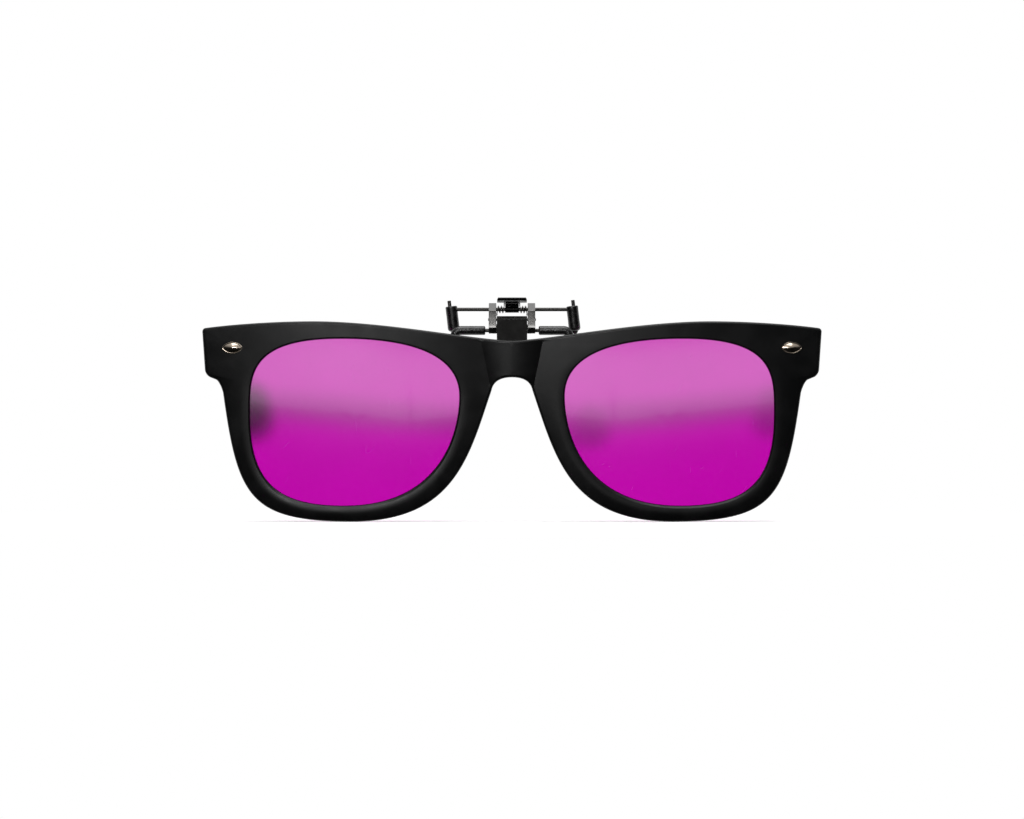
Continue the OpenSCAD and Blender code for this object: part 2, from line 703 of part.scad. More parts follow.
// A sleeve is a round bar with its edges rounded, bored for both legs and slit to let them in
module rear_sleeve(side) {
    mid = hairpin_r * [side * cos(hairpin_twist), sin(hairpin_twist), 0];
    low = [0, 0, -rear_sleeve_drop];
    bore = wire_r + fast_fit;
    length = rear_sleeve_rise + rear_sleeve_drop;
    color(rubber) at_claw(side) difference() {
        translate(mid + low) rotate_extrude($fn = round_fn) intersection() {
            square([rear_sleeve_r, length]);
            union() {
                square([rear_sleeve_r - sleeve_foot_r, length]);
                translate([0, sleeve_foot_r])
                    square([rear_sleeve_r, length - sleeve_foot_r - sleeve_round]);
                translate([0, sleeve_foot_r])
                    square([rear_sleeve_r - sleeve_round, length - sleeve_foot_r]);
                translate([rear_sleeve_r - sleeve_foot_r, sleeve_foot_r])
                    circle(r = sleeve_foot_r, $fn = round_fn);
                translate([rear_sleeve_r - sleeve_round, length - sleeve_round])
                    circle(r = sleeve_round, $fn = round_fn);
            }
        }
        for (leg = [0, 2])
            translate(leg * mid + low) cylinder(r = bore, h = 3 * length, center = true, $fn = round_fn);
        translate(mid + low) rotate([0, 0, side * hairpin_twist])
            cube([2 * hairpin_r, 2 * bore, 3 * length], center = true);
        rotate([0, 0, side > 0 ? 180 : 0])
            translate([0, -bore, -rear_bend_r - seat_gap]) cube([2 * rear_sleeve_r, 2 * bore, length]);
    }
}

// A strip of sheet seen from its edge: the points to one side of its middle line, then the other
function edge_side(path, i) =
    let (
        a = unit(path[i] - path[max(i - 1, 0)] + (i == 0 ? path[1] - path[0] : [0, 0])),
        b = i == len(path) - 1 ? a : unit(path[i + 1] - path[i]),
        n = unit([-a[1] - b[1], a[0] + b[0]])
    )
        n / (n * [-a[1], a[0]]);
function strip(path, t) = concat(
    [for (i = [0:len(path) - 1]) path[i] + edge_side(path, i) * t / 2],
    [for (i = [len(path) - 1:-1:0]) path[i] - edge_side(path, i) * t / 2]
);

// The lever's sheet in side view: up from the barrel, forward as the thumb plate, up into the lip
plate_root = [axle_y - lever_bend, axle_z + lever_rise];
plate_end = [axle_y - lever_reach + lever_t, axle_z + lever_rise + lever_slope];
lever_path = [
    [axle_y, axle_z + (wire_r + barrel_r) / 2],
    [axle_y, plate_root[1] - lever_bend],
    [axle_y, plate_root[1]] - soft * lever_bend * [1, 1],
    plate_root,
    plate_end,
    plate_end + lip_h * [-0.8, 0.27],
    plate_end + lip_h * [-1.1, 1]
];
tip_y = axle_y - lever_reach - lever_t;

module lever_plan() {
    shoulder_y = axle_y - barrel_r - seat_gap;
    round_y = tip_y + lever_corner_r;
    flat_w = lever_w - 2 * lever_corner_r;
    translate([-barrel_w / 2, shoulder_y - nothing]) square([barrel_w, 2 * barrel_r]);
    translate([-lever_w / 2, round_y]) square([lever_w, shoulder_y - round_y]);
    translate([-flat_w / 2, tip_y]) square([flat_w, lever_corner_r + nothing]);
    for (side = [-1, 1]) translate([side * flat_w / 2, round_y]) circle(r = lever_corner_r, $fn = round_fn);
}

module thumb_lever() {
    color(gun_metal) difference() {
        union() {
            at_axle() along_x(barrel_r, barrel_w);
            intersection() {
                sheet_x(-lever_w / 2, lever_w / 2) polygon(strip(lever_path, lever_t));
                linear_extrude(2 * axle_z) lever_plan();
            }
        }
        at_axle() along_x(wire_r + fast_fit, lever_w);
    }
}

// The spring is one wire: leg, coil, middle loop, coil, leg
coil_in_x = barrel_w / 2 + seat_gap + spring_wire_r;
coil_out_x = lug_in_x - seat_gap / 2 - spring_wire_r;
leg_end = [flip_y + knuckle_r / 2, flip_z + knuckle_r + spring_wire_r + seat_gap] - [axle_y, axle_z];
loop_end = [-loop_reach, lever_rise + lever_slope * 0.3 - lever_t / 2 - spring_wire_r - seat_gap];
// Angles round the axle at which the two legs leave a coil
leg_angle = atan2(leg_end[1], leg_end[0]) + acos(coil_r / norm(leg_end));
loop_angle = atan2(loop_end[1], loop_end[0]) - acos(coil_r / norm(loop_end));
part_turn = (((loop_angle - leg_angle) % 360) + 360) % 360;
coil_sweep = part_turn + 360 * coil_turns;
coil_pitch = (coil_out_x - coil_in_x) / (coil_sweep / 360);

function coil_points(steps) = [
    for (i = [0:steps])
        let (a = leg_angle + coil_sweep * i / steps)
            [coil_out_x + (coil_in_x - coil_out_x) * i / steps, coil_r * cos(a), coil_r * sin(a)]
];
function spring_half(steps) = concat(
    [[coil_out_x, leg_end[0], leg_end[1]]],
    coil_points(steps),
    [
        [coil_in_x, loop_end[0] + loop_bend, loop_end[1]],
        [coil_in_x - soft * loop_bend, loop_end[0] + soft * loop_bend, loop_end[1]],
        [coil_in_x - loop_bend, loop_end[0], loop_end[1]]
    ]
);
function mirrored(points) = [for (i = [len(points) - 1:-1:0]) [-points[i][0], points[i][1], points[i][2]]];

// Rings square to a path, each turned as little as can be from the one before
function heading(path, i) = unit(path[min(i + 1, len(path) - 1)] - path[max(i - 1, 0)]);
function square_to(v, t) = unit(v - (v * t) * t);
function tube_rings(path, r, sides) = [
    for (
        i = 0, n = square_to([1, 0.1, 0.1], heading(path, 0));
        i < len(path);
        i = i + 1, n = i < len(path) ? square_to(n, heading(path, i)) : n
    )
        let (b = cross(heading(path, i), n))
            [for (k = [0:sides - 1]) path[i] + r * (n * cos(360 * k / sides) + b * sin(360 * k / sides))]
];

// Least gap between one curl and the next, on a fine row of points
fine = coil_points(48 * coil_turns + 24);
fine_turn = len(fine) * 360 / coil_sweep;
coil_gap = min([
    for (i = [0:len(fine) - 1])
        for (j = [i + 1:len(fine) - 1])
            if (j - i > fine_turn / 2)
                norm(fine[i] - fine[j])
]) - 2 * spring_wire_r;
echo(least_gap_between_spring_curls = coil_gap);

module clamp_spring() {
    half = spring_half(round(8 * coil_sweep / 360));
    color(bright_steel) at_axle() skin(tube_rings(concat(half, mirrored(half)), spring_wire_r, 6));
}

front_frame();
lens(-1);  // lens_left
lens(1);  // lens_right
stud(-1);  // stud_left
stud(1);  // stud_right
flip_plate();
plate_screw(screw_z[0]);  // plate_screw_upper
plate_screw(screw_z[1]);  // plate_screw_lower
clip_body();
flip_pin();
front_claw();
front_sleeve(-1);  // front_sleeve_left
front_sleeve(1);  // front_sleeve_right
rear_claw();
rear_sleeve(-1);  // rear_sleeve_left
rear_sleeve(1);  // rear_sleeve_right
thumb_lever();
clamp_spring();
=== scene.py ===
"""Looks of a pair of flip-up clip-on glasses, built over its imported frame.

Every size is in metres. The front faces -Y, the wearer is at +Y and Z is up.
"""

import json
import math

import bmesh
import bpy
from bpy.props import FloatProperty, FloatVectorProperty, PointerProperty
from bpy.types import Operator, Panel, PropertyGroup
from mathutils import Matrix, Vector


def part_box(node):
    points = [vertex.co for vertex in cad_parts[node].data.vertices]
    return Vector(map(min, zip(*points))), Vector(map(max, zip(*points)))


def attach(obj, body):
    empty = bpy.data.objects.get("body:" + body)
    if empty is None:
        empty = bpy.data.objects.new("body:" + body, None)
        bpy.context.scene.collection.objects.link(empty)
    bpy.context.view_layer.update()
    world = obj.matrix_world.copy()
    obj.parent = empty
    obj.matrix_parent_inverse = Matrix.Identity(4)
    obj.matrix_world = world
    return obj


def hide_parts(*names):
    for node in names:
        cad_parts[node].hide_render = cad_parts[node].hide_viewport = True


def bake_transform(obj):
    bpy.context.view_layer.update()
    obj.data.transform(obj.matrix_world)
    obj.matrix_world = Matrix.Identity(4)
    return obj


bl_info = {
    "name": "Flip-up clip-on glasses",
    "version": (1, 0, 0),
    "blender": (4, 5, 0),
    "location": "3D View > Sidebar > Clip-on",
    "description": "Builds the front, lenses, clamp, finishes and studio of a pair of clip-on glasses",
    "category": "Add Mesh",
}

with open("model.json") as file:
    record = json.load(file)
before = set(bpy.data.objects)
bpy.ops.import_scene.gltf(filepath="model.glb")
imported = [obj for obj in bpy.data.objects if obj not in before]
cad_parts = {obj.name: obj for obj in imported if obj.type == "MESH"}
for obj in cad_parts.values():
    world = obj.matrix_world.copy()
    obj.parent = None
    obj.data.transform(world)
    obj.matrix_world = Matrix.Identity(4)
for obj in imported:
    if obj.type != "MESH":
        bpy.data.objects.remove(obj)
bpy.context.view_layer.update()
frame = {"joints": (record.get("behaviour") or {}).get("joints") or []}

FRONT_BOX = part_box("front_frame")
LENS_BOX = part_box("lens_right")
STUD_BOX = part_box("stud_right")
PLATE_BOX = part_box("flip_plate")
BODY_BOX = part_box("clip_body")
SCREW_BOXES = {
    "plate_screw_upper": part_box("plate_screw_upper"),
    "plate_screw_lower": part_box("plate_screw_lower"),
}
JOINTS = {joint["name"]: joint for joint in frame["joints"]}
FLIP_Y, FLIP_Z = JOINTS["flip"]["pos_m"][1:]
AXLE_Y, AXLE_Z = JOINTS["clamp"]["pos_m"][1:]

MM = 0.001
UP = Vector((0, 1))
DOWN = Vector((0, -1))
LEFT = Vector((-1, 0))
RIGHT = Vector((1, 0))
SIDES = (-1, 1)

# The middle of a rounded edge lies at this share of its radius from either face
ROUND_MID = 1 - math.sqrt(0.5)

# Points closer together than MERGE are one point, and what is shorter than SPECK counts as nothing
MERGE = 1e-7
SPECK = 1e-8

# Faces of sheet metal and of cuts that meet at more than this have a hard edge between them
FLAT_ANGLE = math.radians(12)

# How far a lens reaches into the groove of its rim
GROOVE_HOLD = 0.64 * MM


# Sizes and finishes

def length(name, default, description):
    """A size of a piece, in metres."""
    return FloatProperty(
        name=name, default=default, description=description, unit="LENGTH", min=0, precision=5
    )


def turn(name, degrees, description):
    """An angle of a piece."""
    return FloatProperty(name=name, default=math.radians(degrees), description=description, unit="ROTATION")


def tint(name, default, description):
    """A colour of a finish."""
    return FloatVectorProperty(
        name=name, default=default, description=description, subtype="COLOR", size=3, min=0, max=1
    )


def share(name, default, description):
    """A plain number between nothing and all."""
    return FloatProperty(name=name, default=default, description=description, subtype="FACTOR", min=0, max=1)


def number(name, default, description, low=0):
    """A plain number that isn't a share."""
    return FloatProperty(name=name, default=default, description=description, min=low)


class FrontSizes(PropertyGroup):
    """Sizes of the moulded front and of its lens openings."""

    lens_w: length(
        "Opening width", LENS_BOX[1].x - LENS_BOX[0].x - 2 * GROOVE_HOLD, "Width of a lens opening"
    )
    lens_h: length(
        "Opening height", LENS_BOX[1].z - LENS_BOX[0].z - 2 * GROOVE_HOLD, "Height of a lens opening"
    )
    open_x: length(
        "Opening start", LENS_BOX[0].x + GROOVE_HOLD, "Distance of an opening from the centre plane"
    )
    groove: length("Lens groove", 0.7 * MM, "Depth of the lens groove in the rims")
    lens_t: length("Lens thickness", 1.1 * MM, "Thickness of a lens")
    lens_set: length("Lens set-back", 0.65 * MM, "Set-back of the lens face behind the rim face")
    # Painted shade: the dark ring at each lens's border stands in for the shade of the rim's groove and the
    # black rim seen through the lens
    lens_shade_line: length("Lens edge line", 0.22 * MM, "Width of the dark ground edge that shows inside the rim")
    half_w: length("Half width", FRONT_BOX[1].x, "Half of the width across the end pieces")
    rim_side: length("Side rim", 6.35 * MM, "Width of the rim at the side, under the end piece")
    rim_t: length("Rim thickness", 2.5 * MM, "Thickness of the rims, front to back")
    back_y: length("Back distance", 4.2 * MM, "Distance of the bridge's back in front of the clamp seat")
    end_h: length("End piece height", 10.9 * MM, "Height of an end piece at its outer side")
    end_droop: length("End piece droop", 1.6 * MM, "Drop of the end piece's upper corner below the crest")
    end_corner_r: length("Upper corner", 0.8 * MM, "Rounding of an end piece's upper corner")
    end_foot_r: length("Lower corner", 1.3 * MM, "Rounding of an end piece's lower corner")
    under_h: length("Hollow corner", 3.1 * MM, "Height of the hollow corner under an end piece")
    under_w: length("Hollow reach", 1.5 * MM, "Reach of the hollow corner beyond the side of the rim")
    side_in: length("Side draw-in", 0.2 * MM, "How far the rim's side draws in below the hollow corner")
    bridge_drop: length("Bridge drop", 4.45 * MM, "Drop of the bridge's upper edge below the crest")
    bridge_h: length("Bridge height", 8.55 * MM, "Height of the bridge on the centre plane")
    arch_half_w: length("Nose arch half width", 4.75 * MM, "Half of the width of the nose arch")
    arch_h: length("Nose arch top", 3.05 * MM, "Height of the rounded top of the nose arch")
    bridge_swell: length("Bridge swell", 1.0 * MM, "Forward swell of the facet between the two creases")
    crease_x: length("Crease distance", 7.2 * MM, "Distance of a crease from the centre plane at its top")
    crease_lean: turn("Crease lean", 11.6, "Lean of each crease towards the centre plane")
    face_r: length("Face radius", 190 * MM, "Radius of the face of a rim, seen from above")
    face_side_r: length("Face side radius", 500 * MM, "Radius of the face of a rim, seen from the side")
    face_x: length("Foremost line", 28 * MM, "Distance of a rim's foremost line from the centre plane")
    front_round: length("Front rounding", 0.6 * MM, "Rounding of the outer front edges")
    back_round: length("Back rounding", 0.5 * MM, "Rounding of the outer back edges")
    bevel_w: length("Bevel width", 0.24 * MM, "Width of the bevel round the face of an opening")
    bevel_d: length("Bevel depth", 0.19 * MM, "Depth of the bevel round the face of an opening")
    bevel_grow: share("Bevel growth", 0.9, "How much wider the bevel is at the foot of an opening")
    roll_w: length("Roll width", 1.9 * MM, "Width of the soft roll of the rim's face towards an opening")
    roll_d: length("Roll depth", 0.24 * MM, "Depth of the soft roll at the foot of an opening")
    crown: length("Crown", 0.3 * MM, "Set-back of the rim's outer edge, below and at the sides")
    crease_fade: length("Crease fade", 5 * MM, "Distance from a crease over which roll and crown begin")
    back_bevel: length("Back bevel", 0.15 * MM, "Bevel round the back of an opening")


class StudSizes(PropertyGroup):
    """Sizes of the polished studs."""

    width: length("Stud length", 4.8 * MM, "Length of a stud along the end piece")
    height: length("Stud height", 2.7 * MM, "Height of a stud")
    point: number("Stud point", 1.25, "How far the ends are drawn out: 1 is a plain oval", low=1)
    rise: length("Stud rise", 0.85 * MM, "Rise of the stud's middle over its seat")
    seat: length("Stud seat", 0.2 * MM, "Depth of the stud's seat in the frame")
    rim: length("Stud rim", 0.2 * MM, "Width of the flat rim round the stud")
    rim_h: length("Rim height", 0.35 * MM, "Height of the rim over the seat")
    rim_edge: length("Rim edge", 0.05 * MM, "Rounding of the rim")
    groove: length("Stud groove", 0.06 * MM, "Width and depth of the groove inside the rim")


class HingeSizes(PropertyGroup):
    """Sizes of the flip plate, its pin and its screws."""

    sheet: length("Plate thickness", 0.4 * MM, "Thickness of the flip plate's sheet")
    sheet_edge: length("Plate edges", 0.06 * MM, "Rounding of the plate's edges")
    corner_r: length("Plate corner", 1.5 * MM, "Radius of the plate's lower corners")
    knuckle_r: length("Knuckle radius", 0.78 * MM, "Outer radius of the rolled knuckle")
    knuckle_edge: length("Knuckle edges", 0.05 * MM, "Rounding of the knuckle's edges")
    pin_r: length("Pin radius", 0.35 * MM, "Radius of the flip pin")
    pin_edge: length("Pin edges", 0.08 * MM, "Bevel of the pin's ends")
    pin_stand: length("Pin stand-out", 0.15 * MM, "Stand-out of the pin's ends beyond the lugs")
    head_r: length("Screw head radius", 0.95 * MM, "Radius of a screw's head")
    head_h: length("Screw head height", 0.45 * MM, "Height of a screw's head")
    head_flat: length("Screw head flat", 0.05 * MM, "Radius of the flat on top of a screw's head")
    shank_r: length("Screw radius", 0.45 * MM, "Radius of a screw's shank")
    shank_tip: length("Screw tip", 0.15 * MM, "Length of the taper at a shank's tip")
    slot_w: length("Screw slot", 0.27 * MM, "Width of the slots of a screw's cross")


class ClampSizes(PropertyGroup):
    """Sizes of the clamp's body, wires, sleeves, lever and spring."""

    lug_t: length("Lug thickness", 1.75 * MM, "Thickness of a lug")
    lug_wall: length("Lug wall", 0.95 * MM, "Wall of a lug in front of the flip pin")
    lug_front_top: length("Lug front", 4.8 * MM, "Height of a lug's front face over the clamp seat")
    eye_r: length("Eye radius", 1.5 * MM, "Radius of a lug's eye round the axle")
    foot_step: length("Foot step", 0.5 * MM, "Forward step of the foot of a lug")
    foot_top: length("Foot height", 0.8 * MM, "Height of the foot's front face over the clamp seat")
    foot_tuck: length("Foot tuck", 0.45 * MM, "How far the foot's front face draws back at the bottom")
    block_top: length("Block height", 1.55 * MM, "Height of the block that joins the lugs")
    block_gap: length("Block gap", 0.3 * MM, "Gap between the block and the flip plate")
    edge: length("Body edges", 0.09 * MM, "Bevel of the clamp body's edges")
    wire_r: length("Wire radius", 0.425 * MM, "Radius of the claw wires")
    wire_end: length("Wire ends", 0.12 * MM, "Rounding of the claw wires' ends")
    jaw_gap: length("Jaw gap", 0.4 * MM, "Gap between the closed jaws")
    front_wire_z: length("Front wire height", 0.17 * MM, "Height of the front claw's wire")
    front_claw_x: length("Front claw reach", 13.3 * MM, "Distance of a front leg from the centre plane")
    front_bend_r: length("Front bend", 1.3 * MM, "Radius of the front claw's bends")
    front_leg: length("Front leg", 4.6 * MM, "Length of a front leg below the bar")
    front_sleeve_r: length("Front sleeve radius", 1.05 * MM, "Radius of the front claw's sleeves")
    front_sleeve_gap: length("Front sleeve gap", 0.8 * MM, "Gap between a front sleeve and the body")
    sleeve_tip: length("Sleeve tip", 0.6 * MM, "Rubber beyond the end of a front leg's wire")
    rear_claw_x: length("Rear claw reach", 13.75 * MM, "Distance of a rear claw from the centre plane")
    rear_bend_r: length("Rear bend", 0.7 * MM, "Radius of the bend from the axle into a rear claw")
    hairpin_r: length("Hairpin radius", 0.475 * MM, "Radius of the turn at the foot of a rear claw")
    hairpin_drop: length("Hairpin drop", 4.9 * MM, "Drop of the hairpin turns below the axle")
    tip_rise: length("Tip rise", 2.15 * MM, "Rise of the free wire ends over the axle")
    hairpin_twist: turn("Hairpin twist", 45, "Turn of the hairpins towards the back")
    claw_lean: turn("Claw lean", 6.6, "Sideways lean of both rear claws")
    rear_sleeve_r: length("Rear sleeve radius", 1.38 * MM, "Radius of the rear claws' sleeves")
    rear_sleeve_rise: length("Rear sleeve rise", 0.8 * MM, "Rise of a rear sleeve over the axle")
    rear_sleeve_drop: length("Rear sleeve drop", 5.1 * MM, "Drop of a rear sleeve below the axle")
    sleeve_round: length("Sleeve rounding", 0.3 * MM, "Rounding of the sleeves' ends")
    sleeve_foot_r: length("Sleeve foot", 0.8 * MM, "Rounding of the rear sleeves' feet")
    sleeve_waist: length("Sleeve waist", 0.02 * MM, "How far a rear sleeve draws in at its middle")
    foot_bore: length("Foot bore", 0.5 * MM, "Depth of the hollow in a rear sleeve's foot")
    mouth_bore: length("Mouth bore", 0.6 * MM, "Depth of the hollow in a rear sleeve's mouth")
    lever_w: length("Lever width", 6.9 * MM, "Width of the thumb plate")
    lever_t: length("Lever thickness", 0.45 * MM, "Thickness of the lever's sheet")
    lever_reach: length("Lever reach", 6.9 * MM, "Reach of the thumb plate in front of the axle")
    lever_rise: length("Lever rise", 1.75 * MM, "Rise of the thumb plate's root over the axle")
    lever_slope: length("Lever slope", 0.4 * MM, "Rise of the thumb plate from its root to its lip")
    lever_bend: length("Lever bend", 0.6 * MM, "Radius of the bend into the thumb plate")
    lever_edge: length("Lever edges", 0.07 * MM, "Bevel of the lever's edges")
    lever_corner_r: length("Lever corner", 1.0 * MM, "Radius of the thumb plate's front corners")
    lip_h: length("Lip height", 0.45 * MM, "Height of the lip at the thumb plate's front")
    barrel_w: length("Barrel width", 3.2 * MM, "Width of the lever's barrel")
    barrel_r: length("Barrel radius", 0.75 * MM, "Outer radius of the barrel")
    barrel_edge: length("Barrel edges", 0.06 * MM, "Bevel of the barrel's ends")
    spring_r: length("Spring wire", 0.13 * MM, "Radius of the spring wire")
    spring_end: length("Spring ends", 0.04 * MM, "Rounding of the spring wire's ends")
    coil_r: length("Coil radius", 0.785 * MM, "Radius of the coils, to the middle of the wire")
    loop_reach: length("Loop reach", 2.7 * MM, "Reach of the spring's loop in front of the axle")
    loop_bend: length("Loop bend", 0.4 * MM, "Size of the two bends of the spring's loop")
    gap: length("Small gap", 0.08 * MM, "Gap between the spring and the pieces beside it")


class Finishes(PropertyGroup):
    """Colours and polish of the materials."""

    plastic: tint("Black moulding", (0.0016, 0.00165, 0.0018), "Colour of the moulded front")
    plastic_rough: share("Moulding roughness", 0.36, "Roughness of the moulded front")
    plastic_gloss: share("Moulding gloss", 0.23, "Strength of the moulded front's gloss")
    lens: tint("Lens tint", (0.755, 0.0002, 0.585), "Colour that the lenses let through")
    # Painted shade: colour of the dark ring at each lens's border, standing in for the groove's shade
    lens_rim_shade: tint("Lens edge", (0.02, 0.0, 0.016), "Colour of the lenses' ground edge")
    lens_scratch: tint("Lens scratches", (0.7, 0.1, 0.6), "Colour of the hair scratches in the lenses")
    lens_rough: share("Lens roughness", 0.02, "Roughness of the lenses")
    stud: tint("Stud metal", (0.47, 0.40, 0.33), "Colour of the polished studs")
    gun_metal: tint("Gun metal", (0.115, 0.113, 0.11), "Colour of the plated body")
    black_metal: tint("Blackened metal", (0.015, 0.0147, 0.0143), "Colour of the flip plate and the lever")
    wire: tint("Wire plating", (0.04, 0.0385, 0.037), "Colour of the plated wires")
    bare_metal: tint("Bare metal", (0.23, 0.225, 0.215), "Colour of metal where the plating is worn")
    steel: tint("Steel", (0.2, 0.195, 0.19), "Colour of the spring, pin and screws")
    rubber: tint("Rubber", (0.002, 0.002, 0.0021), "Colour of the sleeves")
    rubber_rough: share("Rubber roughness", 0.24, "Roughness of the sleeves")


class StudioSizes(PropertyGroup):
    """Camera, lights and backdrop."""

    picture_w: number("Picture width", 1024, "Width of the picture in pixels")
    picture_h: number("Picture height", 819, "Height of the picture in pixels")
    pixel: length("Pixel", 0.2319 * MM, "Size of a pixel at the face of the front")
    zero_row: number("Seat row", 331, "Picture row at the height of the clamp seat")
    face_plane: length("Face plane", 5.2 * MM, "Distance of the measured plane in front of the clamp seat")
    focal: number("Focal length", 200, "Focal length of the camera in millimetres")
    sensor: number("Sensor width", 36, "Width of the camera's sensor in millimetres")
    floor_drop: length("Floor drop", -FRONT_BOX[0].z, "Depth of the floor below the clamp seat")
    floor_gap: length("Floor gap", 0.05 * MM, "Gap between the front's lowest point and the floor")
    floor_half: length("Floor reach", 0.8, "Reach of the floor to the sides and behind")
    floor_front: length("Floor front", 0.25, "Reach of the floor in front")
    fade_start: length("Fade start", 0.06, "Distance at which the floor starts to fade into white")
    fade_end: length("Fade end", 0.18, "Distance at which the floor is as white as the background")


def sizes(group):
    """The values of one of the property groups."""
    return getattr(bpy.context.scene, "clip_on_" + group)


# Plain shapes

def curve_at(curve, t):
    """The point of a curve of four points, from 0 at its start to 1 at its end."""
    a, b, c, d = curve
    return (1 - t) ** 3 * a + 3 * (1 - t) ** 2 * t * b + 3 * (1 - t) * t * t * c + t ** 3 * d


def slope_at(curve, t):
    """The way that a curve of four points runs."""
    a, b, c, d = curve
    return (1 - t) ** 2 * (b - a) + 2 * (1 - t) * t * (c - b) + t * t * (d - c)


def outward(way):
    """The outward side of a line that runs clockwise, as the front shows it."""
    return Vector((-way.y, way.x)).normalized()


def sweep(a, way_a, reach_a, b, way_b, reach_b):
    """A free curve that leaves a along way_a and arrives at b along way_b."""
    return (a, a + reach_a * way_a.normalized(), b - reach_b * way_b.normalized(), b)


def straight(a, b):
    """A straight line, written as a curve."""
    return (a, a.lerp(b, 1 / 3), a.lerp(b, 2 / 3), b)


def bend(a, corner, b):
    """A round bend from a to b inside a corner."""
    hold = 0.55
    return (a, a.lerp(corner, hold), b.lerp(corner, hold), b)


def quarter(steps):
    """Angles of a quarter turn, in even steps."""
    return [math.pi / 2 * k / steps for k in range(steps + 1)]


def arc(middle, radius, start, stop, steps):
    """Points of an arc in a plane, with angles in degrees."""
    return [
        middle + radius * Vector((math.cos(math.radians(a)), math.sin(math.radians(a))))
        for a in (start + (stop - start) * i / steps for i in range(steps + 1))
    ]


def mirrored(points, side=-1):
    """The points on one side of the centre plane, as side says."""
    return [Vector((side * p.x, p.y, p.z)) for p in points]


def sided(name, side):
    """A name with its side, as the front shows it."""
    return name + ("_right" if side > 0 else "_left")


def add_object(name, data):
    """A new object of the scene with its mesh, lamp or camera."""
    made = bpy.data.objects.new(name, data)
    bpy.context.scene.collection.objects.link(made)
    return made


def build_mesh(name, points, faces, sharp=()):
    """A mesh object with smooth shading, apart from the edges in sharp."""
    mesh = bpy.data.meshes.new(name)
    mesh.from_pydata([tuple(p) for p in points], [], faces)
    mesh.shade_smooth()
    piece = add_object(name, mesh)
    if sharp:
        wanted = {tuple(sorted(edge)) for edge in sharp}
        mark = mesh.attributes.get("sharp_edge") or mesh.attributes.new("sharp_edge", "BOOLEAN", "EDGE")
        for edge in mesh.edges:
            mark.data[edge.index].value = tuple(sorted(edge.vertices)) in wanted
    return piece


def tidy_mesh(piece, sharp_angle=None):
    """Joins points that coincide, turns the faces outward, and marks the hard edges."""
    work = bmesh.new()
    work.from_mesh(piece.data)
    bmesh.ops.remove_doubles(work, verts=work.verts, dist=MERGE)
    bmesh.ops.recalc_face_normals(work, faces=work.faces)
    work.to_mesh(piece.data)
    work.free()
    if sharp_angle is not None:
        piece.data.set_sharp_from_angle(angle=math.radians(sharp_angle))
    return piece


def dress(piece, body, slot, material, *nodes):
    """Gives a piece its finish and its body, and hides the frame's nodes that it stands for."""
    piece.data.materials.append(material)
    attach(piece, body)
    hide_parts(*nodes)


def ring_faces(rings, sides):
    """Faces that join rings of points, one after another."""
    faces = []
    for k in range(rings - 1):
        here, there = k * sides, (k + 1) * sides
        for i in range(sides):
            j = (i + 1) % sides
            faces.append((here + i, there + i, there + j, here + j))
    return faces


def closed_faces(rings, sides):
    """Faces that join rings of points and close the first and the last."""
    last = (rings - 1) * sides
    ends = [tuple(range(sides)), tuple(last + k for k in reversed(range(sides)))]
    return ring_faces(rings, sides) + ends


def heading(path, i):
    """The way a path runs at one of its points, looking past points that coincide."""
    reach = 1
    while True:
        way = path[min(i + reach, len(path) - 1)] - path[max(i - reach, 0)]
        if way.length > MERGE:
            return way.normalized()
        reach += 1


def tube_mesh(name, path, radii, sides=24):
    """A round bar along a path, with a radius at each point and both ends closed."""
    ways = [heading(path, i) for i in range(len(path))]
    side = ways[0].orthogonal().normalized()
    points = []
    for place, way, radius in zip(path, ways, radii):
        side = (side - side.dot(way) * way).normalized()
        across = way.cross(side)
        for k in range(sides):
            angle = 2 * math.pi * k / sides
            points.append(place + radius * (side * math.cos(angle) + across * math.sin(angle)))
    return tidy_mesh(build_mesh(name, points, closed_faces(len(path), sides)))


def rounded_ends(path, radius, edge, bore=0.0):
    """A path and radii for a bar whose two ends are rounded, or rolled in to a bore."""
    def end(tip, way):
        rows = [(tip - way * edge * (1 - math.sin(a)), radius - edge * (1 - math.cos(a))) for a in quarter(4)]
        if bore:
            rows += [(tip, bore), (tip - way * edge, bore)]
        else:
            rows.append((tip, radius * 0.02))
        return rows

    first_way = (path[0] - path[1]).normalized()
    last_way = (path[-1] - path[-2]).normalized()
    start = list(reversed(end(path[0], first_way)))
    stop = end(path[-1], last_way)
    rows = start + [(p, radius) for p in path[1:-1]] + stop
    return [row[0] for row in rows], [row[1] for row in rows]


def follow(steps, place, arc_steps=10):
    """Points along a bent wire. Each step is its run, its roll, and its bend's radius and angle."""
    points = [place @ Vector((0, 0, 0))]
    for run, roll, radius, angle in steps:
        place = place @ Matrix.Translation((run, 0, 0)) @ Matrix.Rotation(roll, 4, "X")
        points.append(place @ Vector((0, 0, 0)))
        if angle:
            for i in range(1, arc_steps + 1):
                a = angle * i / arc_steps
                points.append(place @ Vector((radius * math.sin(a), radius * (1 - math.cos(a)), 0)))
            place = place @ Matrix.Translation((radius * math.sin(angle), radius * (1 - math.cos(angle)), 0))
            place = place @ Matrix.Rotation(angle, 4, "Z")
    return points


def lathe(name, profile, place, sides=48):
    """A solid of revolution about the local Z of place, from pairs of radius and height."""
    points = []
    for radius, height in profile:
        for k in range(sides):
            angle = 2 * math.pi * k / sides
            points.append(place @ Vector((radius * math.cos(angle), radius * math.sin(angle), height)))
    return tidy_mesh(build_mesh(name, points, closed_faces(len(profile), sides)), sharp_angle=35)


def across_x(p, x):
    """A point of a plane across X."""
    return Vector((x, p.x, p.y))


def across_y(p, y):
    """A point of a plane across Y."""
    return Vector((p.x, y, p.y))


def along_x(y, z):
    """The place of a pin or barrel that runs along X."""
    return Matrix.Translation((0, y, z)) @ Matrix.Rotation(math.pi / 2, 4, "Y")


def both_ends(profile):
    """A profile for a lathe with the same shape at its two ends."""
    return profile + [(radius, -height) for radius, height in reversed(profile)]


